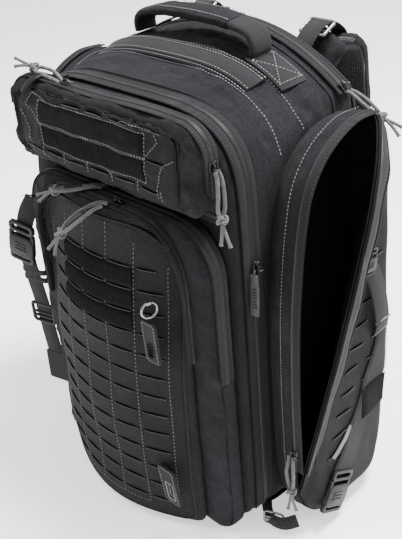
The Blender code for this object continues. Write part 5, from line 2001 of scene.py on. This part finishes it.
def resample_loop(loop, count):
    """Count even points around a closed loop, starting at its rightmost point."""
    pts = np.array(loop, dtype=float)
    pts = np.roll(pts, -int(np.argmax(pts[:, 0])), axis=0)
    ring = np.vstack((pts, pts[:1]))
    run = np.concatenate(([0.0], np.cumsum(np.linalg.norm(np.diff(ring, axis=0), axis=1))))
    at = np.linspace(0.0, run[-1], count + 1)[:-1]
    return np.stack([np.interp(at, run, ring[:, k]) for k in range(2)], axis=1)


def oblong(width, height, corner, steps=5, centre=(0.0, 0.0)):
    """A rounded rectangle, anticlockwise."""
    points = []
    for cx, cz, start in ((1, -1, -90), (1, 1, 0), (-1, 1, 90), (-1, -1, 180)):
        middle = (centre[0] + cx * (width / 2 - corner), centre[1] + cz * (height / 2 - corner))
        points += list(arc(middle, (corner, corner), start, start + 90, steps))
    return np.array(points)


def middle_of(node):
    """The middle of a CAD node's world box."""
    piece = bpy.data.objects[node]
    corners = np.array([tuple(piece.matrix_world @ Vector(c)) for c in piece.bound_box])
    return Vector((corners.min(axis=0) + corners.max(axis=0)) / 2)


def slider(name, place, along, out, body, *nodes, ring=0.0052, droop=0.0):
    """A coil zip slider: two shield plates, a bridge and the wire ring its cord is tied to."""
    along, out = Vector(along).normalized(), Vector(out).normalized()
    across = along.cross(out).normalized()
    centre = Vector(place)
    shield = [(-0.0042, 0.0062), (-0.0050, 0.0030), (-0.0046, -0.0010), (-0.0030, -0.0058), (0.0030, -0.0058),
              (0.0046, -0.0010), (0.0050, 0.0030), (0.0042, 0.0062), (0.0016, 0.0048), (-0.0016, 0.0048)]
    pieces = []
    for depth, size in ((0.0016, 1.0), (-0.0016, 0.92)):
        outline = [(a * size, b * size) for a, b in reversed(shield)]
        pieces.append(plate(name + "_plate", outline, 0.0011, centre + out * depth, across, along,
                            "black_metal"))
    bridge = [centre + along * t + out * (0.0022 + 0.0026 * math.sin(math.pi * s))
              for s, t in zip(np.linspace(0.0, 1.0, 9), np.linspace(-0.0050, 0.0050, 9))]
    pieces.append(strap(name + "_bridge", bridge, np.array(tuple(out)), 0.0024, 0.0011, "black_metal"))
    loop = []
    swing_axis = (out * math.cos(droop) - along * math.sin(droop)).normalized()
    for turn in np.linspace(0.0, 2 * math.pi, 21):
        loop.append(centre + out * 0.0034 + swing_axis * (ring * 0.62 * (1 - math.cos(turn)))
                    + across * (ring * 0.62 * math.sin(turn)))
    pieces.append(tube(name + "_ring", loop, 0.00075, "black_metal", 8))
    ride(merge(name, pieces), body, "acetal", *nodes)


def add_sliders():
    """The zip sliders; RIGHT and UP say which way each one runs and faces."""
    slider("upper_slider_body", (0.1504, -0.0920, 0.470), UP, RIGHT, "upper_slider", "upper_zip_slider")
    slider("upper_top_slider_body", (-0.056, -0.0920, 0.5104), RIGHT, UP, "upper_top_slider",
           "upper_top_slider")
    slider("upper_second_slider", (-0.0912, -0.0920, 0.5068), RIGHT, UP, "front_panel", ring=0.0040,
           droop=1.45)
    pull = [(-0.0925, -0.0952, 0.5140), (-0.0940, -0.1000, 0.5138), (-0.0965, -0.1065, 0.5120),
            (-0.0995, -0.1135, 0.5060), (-0.1015, -0.1175, 0.5000)]
    grip = ribbed_pull("upper_ribbed_pull", pull, np.array([-0.15, -0.45, 1.0]), 0.0095, 0.0036)
    ride(grip, "front_panel", "acetal")
    slider("main_slider_body", (0.1636, -0.0550, 0.351), UP, RIGHT, "main_slider", "main_zip_slider")
    slider("lower_back_slider_body", (-0.004, -0.0925, 0.4050), RIGHT, UP, "lower_back_slider",
           "lower_back_slider", droop=1.15)
    slider("lower_front_slider_body", (0.026, -0.1090, 0.4025), RIGHT, UP, "lower_front_slider",
           "lower_front_slider")
    slider("side_slider_body", (0.2044, -0.0528, 0.126), (0.0, 0.15, 1.0), (0.8, -0.6, 0.0), "side_slider",
           "side_zip_slider")
    turn = math.radians(38)
    out = Vector((math.cos(turn), 0.0, math.sin(turn)))
    slider("rear_slider_body", middle_of("rear_zip_slider"), (-out.z, 0.0, out.x), out, "rear_slider",
           "rear_zip_slider")


def ribbed_pull(name, knots, out, width, thickness):
    """A moulded grip with raised bars along its length."""
    path = spline(knots, 0.0008)
    run = np.linspace(0.0, 1.0, len(path))
    wide = np.array([width * (0.72 + 0.28 * smoothstep(t, 0.05, 0.30)) for t in run])
    pieces = [strap(name, path, out, width, thickness, "acetal", -thickness / 2, wide)]
    places, _, across, outward = frames_along(path, out)
    for k in np.linspace(0.28, 0.90, 7):
        i = int(k * (len(path) - 1))
        ends = [Vector(places[i] + outward[i] * (thickness / 2) + across[i] * shift)
                for shift in (-width * 0.40, width * 0.40)]
        pieces.append(tube(name + "_bar", ends, 0.0007, "acetal", 6))
    return merge(name, pieces)


def add_pull_tab():
    """The moulded pull of the opening zip: a ribbed grip on a short bight of cord."""
    points = [(0.1691, -0.0630, 0.3470), (0.1694, -0.0632, 0.3380), (0.1690, -0.0636, 0.3200),
              (0.1681, -0.0640, 0.3000)]
    path = spline(points, 0.0010)
    run = np.linspace(0.0, 1.0, len(path))
    widths = np.array([0.0085 + 0.0018 * ease(t, 0.15, 0.4) + 0.0007 * math.sin(t * 60.0) * (0.3 < t < 0.9)
                       for t in run])
    facing = np.array([0.25, -1.0, 0.0])
    pieces = [strap("pull_grip", path, facing, 0.0100, 0.0030, "rubber", -0.0015, widths)]
    bight = [(0.1672, -0.0602, 0.3485), (0.1679, -0.0608, 0.3512), (0.1689, -0.0622, 0.3512),
             (0.1694, -0.0632, 0.3465)]
    pieces.append(tube("pull_bight", spline(bight, 0.001), 0.0011, "rubber", 8))
    for z in np.linspace(0.310, 0.332, 7):
        bar = [(0.1690 - 0.0036, -0.0655, z), (0.1690 + 0.0036, -0.0655, z)]
        pieces.append(tube("pull_rib", [Vector(bar[0]), Vector(bar[1])], 0.0006, "rubber", 6))
    ride(merge("main_pull_grip", pieces), "main_tab", "acetal", "main_pull_tab")


def fabric_tab(name, x, z_top, z_low, y, width, hole, lean, body, edge_shade):
    """A stiff double-layer webbing tab with an edged opening; it stands for the CAD piece of that name."""
    length = z_top - z_low
    outline = oblong(width, length, 0.0035, 5)
    hole_low, hole_high, hole_x, hole_width, corner = hole
    centre = (z_top + z_low) / 2
    middle = (hole_x, (hole_low + hole_high) / 2 - centre)
    opening = oblong(hole_width, hole_high - hole_low, corner, 8, middle)
    sideways = Vector(RIGHT)
    up = Vector((lean, 0.0, 1.0)).normalized()
    tab = plate(name + "_cloth", outline, 0.0030, (x, y, centre), sideways, up, "webbing_z", opening, 0.0006)
    ride(tab, body, "webbing", name)
    rim = [Vector((x, y, centre)) + sideways * float(a) + up * float(b) for a, b in opening]
    for k, side in enumerate((1, -1)):
        shift = sideways.cross(up) * (0.0016 * side)
        edge = [p + shift for p in rim + rim[:1]]
        ride(tube("%s_hole_edge_%d" % (name, k), edge, 0.0009, edge_shade, 8), body, "webbing")
    outer = oblong(width - 0.0045, length - 0.0045, 0.0025, 5)
    face = sideways.cross(up)
    face = face if face.y < 0 else -face
    row = [Vector((x, y, centre)) + sideways * float(a) + up * float(b) + face * 0.0016 for a, b in outer]
    row = resample(row + row[:1], 0.002)
    ride(stitches(name + "_stitches", [(row, tuple(face))]), body, "webbing")


def add_tabs():
    """The two hanging tabs and the snap ring above them."""
    fabric_tab("key_tab", 0.086, 0.296, 0.244, middle_of("key_tab").y - 0.001, 0.022,
               (0.250, 0.270, -0.001, 0.0105, 0.0050), -0.05, "lower_flap", "webbing_z")
    fabric_tab("slot_tab", 0.094, 0.102, 0.052, middle_of("slot_tab").y, 0.026,
               (0.059, 0.082, 0.001, 0.0115, 0.0022), -0.18, "lower_middle", "thread_light")
    centre = middle_of("snap_ring")
    axis = Vector((1.0, -0.3, 0.0)).normalized()
    side = axis.cross(Vector((0.0, 0.0, 1.0))).normalized()
    loop = [centre + side * (0.0090 * math.sin(t)) + Vector((0.0, 0.0, 0.0090 * math.cos(t)))
            for t in np.linspace(0.15, 2 * math.pi - 0.15, 34)]
    pieces = [tube("snap_wire", loop, 0.0014, "steel", 10)]
    for end in (loop[0], loop[-1]):
        bead = [end - Vector((0.0, 0.0, 0.0018)), end + Vector((0.0, 0.0, 0.0012))]
        pieces.append(tube("snap_bead", bead, 0.0021, "steel", 10))
    ride(merge("snap_ring_wire", pieces), "lower_flap", "steel", "snap_ring")


def side_release(name, place, width, length, turn):
    """A side-release buckle: a socket body, a plug with two prongs, and a webbing bar at each end."""
    across, along = turn @ Vector(RIGHT), turn @ Vector(UP)
    pieces = []

    def part(part_name, outline, thickness, shift, rise, hole, bevel):
        centre = Vector(place) + across * (width * shift) + along * (length * rise)
        pieces.append(plate(part_name, outline, thickness, centre, across, along, "acetal", hole, bevel))

    part(name + "_socket", oblong(width, length * 0.55, width * 0.20), 0.0075, 0.0, -0.12, None, 0.0014)
    window = oblong(width * 0.74, length * 0.10, width * 0.04)
    for rise in (0.37, -0.40):
        part(name + "_bar", oblong(width, length * 0.26, width * 0.10), 0.0052, 0.0, rise, window, 0.0008)
    for shift in (0.44, -0.44):
        part(name + "_prong", oblong(width * 0.14, length * 0.36, width * 0.06), 0.0050, shift, 0.08, None,
             0.0012)
    for rise in (-0.20, -0.12, -0.04):
        part(name + "_ridge", oblong(width * 0.46, length * 0.05, width * 0.02), 0.0092, 0.0, rise, None,
             0.0006)
    return merge(name, pieces)


def face_strap(name, knots, width, place, lift, thickness, shade):
    """Webbing that follows a placed face along knots in its plane."""
    path = spline([(a, b, 0.0) for a, b in knots], 0.004)[:, :2]
    ahead = np.gradient(path, axis=0)
    ahead /= np.linalg.norm(ahead, axis=1)[:, None]
    side = np.stack((ahead[:, 1], -ahead[:, 0]), axis=1)
    shares = np.linspace(-0.5, 0.5, 11)
    verts = []
    for rise in (lift, lift + thickness):
        for spot, out in zip(path, side):
            for share in shares:
                a, b = spot + out * (width * share)
                slim = 0.0004 if abs(share) > 0.49 and rise > lift else 0.0
                verts.append(place(float(a), float(b), rise - slim))
    n, m = len(path), len(shares)
    faces = sheet_faces(n, m) + [tuple(n * m + i for i in reversed(f)) for f in sheet_faces(n, m)]
    rim = list(range(m)) + [k * m + m - 1 for k in range(1, n)] + list(range(n * m - 2, (n - 1) * m - 1, -1))
    rim += [k * m for k in range(n - 2, 0, -1)]
    faces += [(rim[k - 1], rim[k], n * m + rim[k], n * m + rim[k - 1]) for k in range(len(rim))]
    made = put(name, verts, faces, shade)
    made.data.set_sharp_from_angle(angle=math.radians(60))
    orient_solid(made)
    rows = [[tuple(spot + out * shift) for spot, out in zip(path, side)]
            for shift in (width * 0.42, -width * 0.42)]
    return made, rows


def add_side_straps():
    """The diagonal compression straps with their stitches and buckles."""
    for side, word in SIDES:
        place = side_place(side)
        knots = [(0.098, 0.232), (0.092, 0.215), (0.070, 0.165), (0.040, 0.110), (0.014, 0.066)]
        web, rows = face_strap("side_webbing_" + word, knots, 0.0375, place, 0.0008, 0.0020, "webbing_z")
        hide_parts("side_strap_" + word)
        blend_door(web, side, word)
        sewn = laid_stitches("side_strap_stitches_" + word, rows,
                             lambda a, b, lift, place=place: place(a, b, lift + 0.0030), "thread_dark")
        blend_door(sewn, side, word)
        tilt = Matrix.Rotation(math.radians(-30), 3, "X") @ Matrix.Rotation(math.radians(90 * side), 3, "Z")
        lock = side_release("side_buckle_body_" + word, middle_of("side_buckle_" + word), 0.040, 0.052, tilt)
        ride(lock, "pack", "acetal", "side_buckle_" + word)
        add_flank_gear(side, word)


def add_flank_gear(side, word):
    """What is sewn to the pocket's outer face: buckle, webbing loop, loop patch and a light hem."""
    place = side_place(side)
    out = np.array([float(side), 0.0, 0.0])
    turn = Matrix.Rotation(math.radians(-8), 3, "X") @ Matrix.Rotation(math.radians(90 * side), 3, "Z")
    lock = side_release("upper_buckle_" + word, place(0.054, 0.328, 0.0046), 0.022, 0.030, turn)
    ride(lock, "pack", "acetal")
    knots = [(0.058, 0.316, 0.0040), (0.064, 0.296, 0.0070), (0.070, 0.270, 0.0085), (0.077, 0.244, 0.0070),
             (0.080, 0.226, 0.0024)]
    points = spline([place(y, z, lift) for y, z, lift in knots], 0.003)
    web = strap("upper_loop_" + word, points, out, 0.024, 0.0018, "webbing_z")
    ride(web, "pack", "webbing")
    for y, z, lift in ((0.0765, 0.246, 0.0078), (0.080, 0.229, 0.0036)):
        hem = [place(y + shift, z + shift * 0.05, lift + 0.0006) for shift in (-0.0125, 0.0, 0.0125)]
        hem = strap("loop_hem_%s_%d" % (word, round(z * 1000)), hem, out, 0.0026, 0.0010, "thread_light")
        ride(hem, "pack", "webbing")
    patch = laid_strip("flank_patch_" + word, 0.047, 0.093, 0.122, 0.162, place, "pile", 0.0022, 0.0033)
    orient_solid(patch)
    blend_door(patch, side, word)
    knots = [(-0.004, 0.096), (0.004, 0.103), (0.016, 0.112), (0.028, 0.124)]
    hem = spline([place(y, z, 0.0014) for y, z in knots], 0.003)
    hem = strap("flank_hem_" + word, hem, out, 0.0075, 0.0012, "thread_light")
    blend_door(hem, side, word)


def add_left_gear():
    """The compression gear at the left front edge: buckle, keeper, ladder lock and the tab it is sewn to."""
    x = -0.1640
    front = np.array([0.22, -1.0, 0.05])
    path = [(-0.1500, -0.0985, 0.352), (-0.1580, -0.1065, 0.334), (x, -0.1105, 0.312),
            (x - 0.002, -0.1120, 0.280), (x - 0.001, -0.1095, 0.245), (x + 0.001, -0.1060, 0.205),
            (x + 0.001, -0.1030, 0.160), (x + 0.002, -0.1000, 0.118)]
    points = spline(path, 0.004)
    web = strap("left_webbing", points, front, 0.025, 0.0022, "webbing_z")
    ride(web, "front_panel", "webbing")
    places, _, across, outward = frames_along(points, front)
    rows = [(places + across * k + outward * 0.0014, outward) for k in (0.0100, -0.0100)]
    ride(stitches("left_webbing_stitches", rows, "thread_dark"), "front_panel", "webbing")
    turn = Matrix.Rotation(math.radians(13), 3, "Z") @ Matrix.Rotation(math.radians(10), 3, "Y")
    lock = side_release("left_buckle", (x - 0.004, -0.1150, 0.296), 0.038, 0.054, turn)
    ride(lock, "front_panel", "acetal")
    keeper = []
    for z, y in ((0.254, -0.1112), (0.243, -0.1105)):
        low = [(x - 0.0165, y + 0.0020, z), (x - 0.0140, y - 0.0022, z), (x + 0.0140, y + 0.0042, z),
               (x + 0.0165, y + 0.0080, z)]
        keeper.append(strap("left_keeper", spline(low, 0.003), front, 0.0075, 0.0018, "webbing_y"))
    ride(merge("left_keepers", keeper), "front_panel", "webbing")
    lean = Matrix.Rotation(math.radians(13), 3, "Z") @ Matrix.Rotation(math.radians(90), 3, "X")
    glide = wire_frame("left_ladder_lock", 0.034, 0.026, 0.0023, lean, (x + 0.001, -0.1075, 0.190), "acetal")
    ride(glide, "front_panel", "acetal")
    tab = plate("left_tab", oblong(0.034, 0.046, 0.003), 0.0026, (x + 0.003, -0.1020, 0.104),
                (1.0, 0.24, 0.0), (0.04, 0.0, 1.0), "webbing_z", None, 0.0007)
    ride(tab, "front_panel", "webbing")
    root = spline([(-0.150, -0.0950, 0.104), (-0.158, -0.0990, 0.103), (-0.166, -0.1012, 0.103)], 0.003)
    root = strap("left_tab_root", root, np.array([0.3, -1.0, 0.0]), 0.036, 0.0020, "webbing_y")
    ride(root, "front_panel", "webbing")


def add_floor_adjuster():
    """The small adjuster at the foot of the right pocket, with its tail of webbing."""
    turn = Matrix.Rotation(math.radians(20), 3, "Z") @ Matrix.Rotation(math.radians(80), 3, "X")
    lock = wire_frame("foot_adjuster", 0.024, 0.016, 0.0014, turn, (0.176, -0.0590, 0.0145), "steel")
    ride(lock, "pack", "steel")
    path = [(0.150, -0.0420, 0.016), (0.164, -0.0540, 0.015), (0.177, -0.0610, 0.0150),
            (0.192, -0.0590, 0.0170), (0.203, -0.0480, 0.0210)]
    web = strap("foot_webbing", spline(path, 0.003), np.array([0.5, -0.8, 0.2]), 0.017, 0.0014, "webbing_y")
    ride(web, "pack", "webbing")


def paint_hidden():
    """The frame sheet and stay are sealed inside the back panel; they keep their plain forms."""
    for node, shade in (("frame_sheet", "polythene"), ("frame_stay", "aluminium")):
        piece = bpy.data.objects[node]
        piece.data.materials.clear()
        piece.data.materials.append(SHADES[shade])


def main():
    """Builds the scene, one group of pieces after another."""
    make_materials()
    set_camera()
    set_stage()
    add_cords()
    add_main_bag()
    add_base()
    add_rear_compartment()
    add_rear_zip()
    add_top_strip()
    add_crown_seams()
    add_main_zip()
    add_front_panel()
    add_lower_pocket()
    add_upper_pocket()
    for side, word in SIDES:
        add_side_pocket(side, word)
    add_handle()
    add_pads()
    add_shoulder_straps()
    add_sliders()
    add_pull_tab()
    add_tabs()
    add_side_straps()
    add_left_gear()
    add_floor_adjuster()
    paint_hidden()


main()
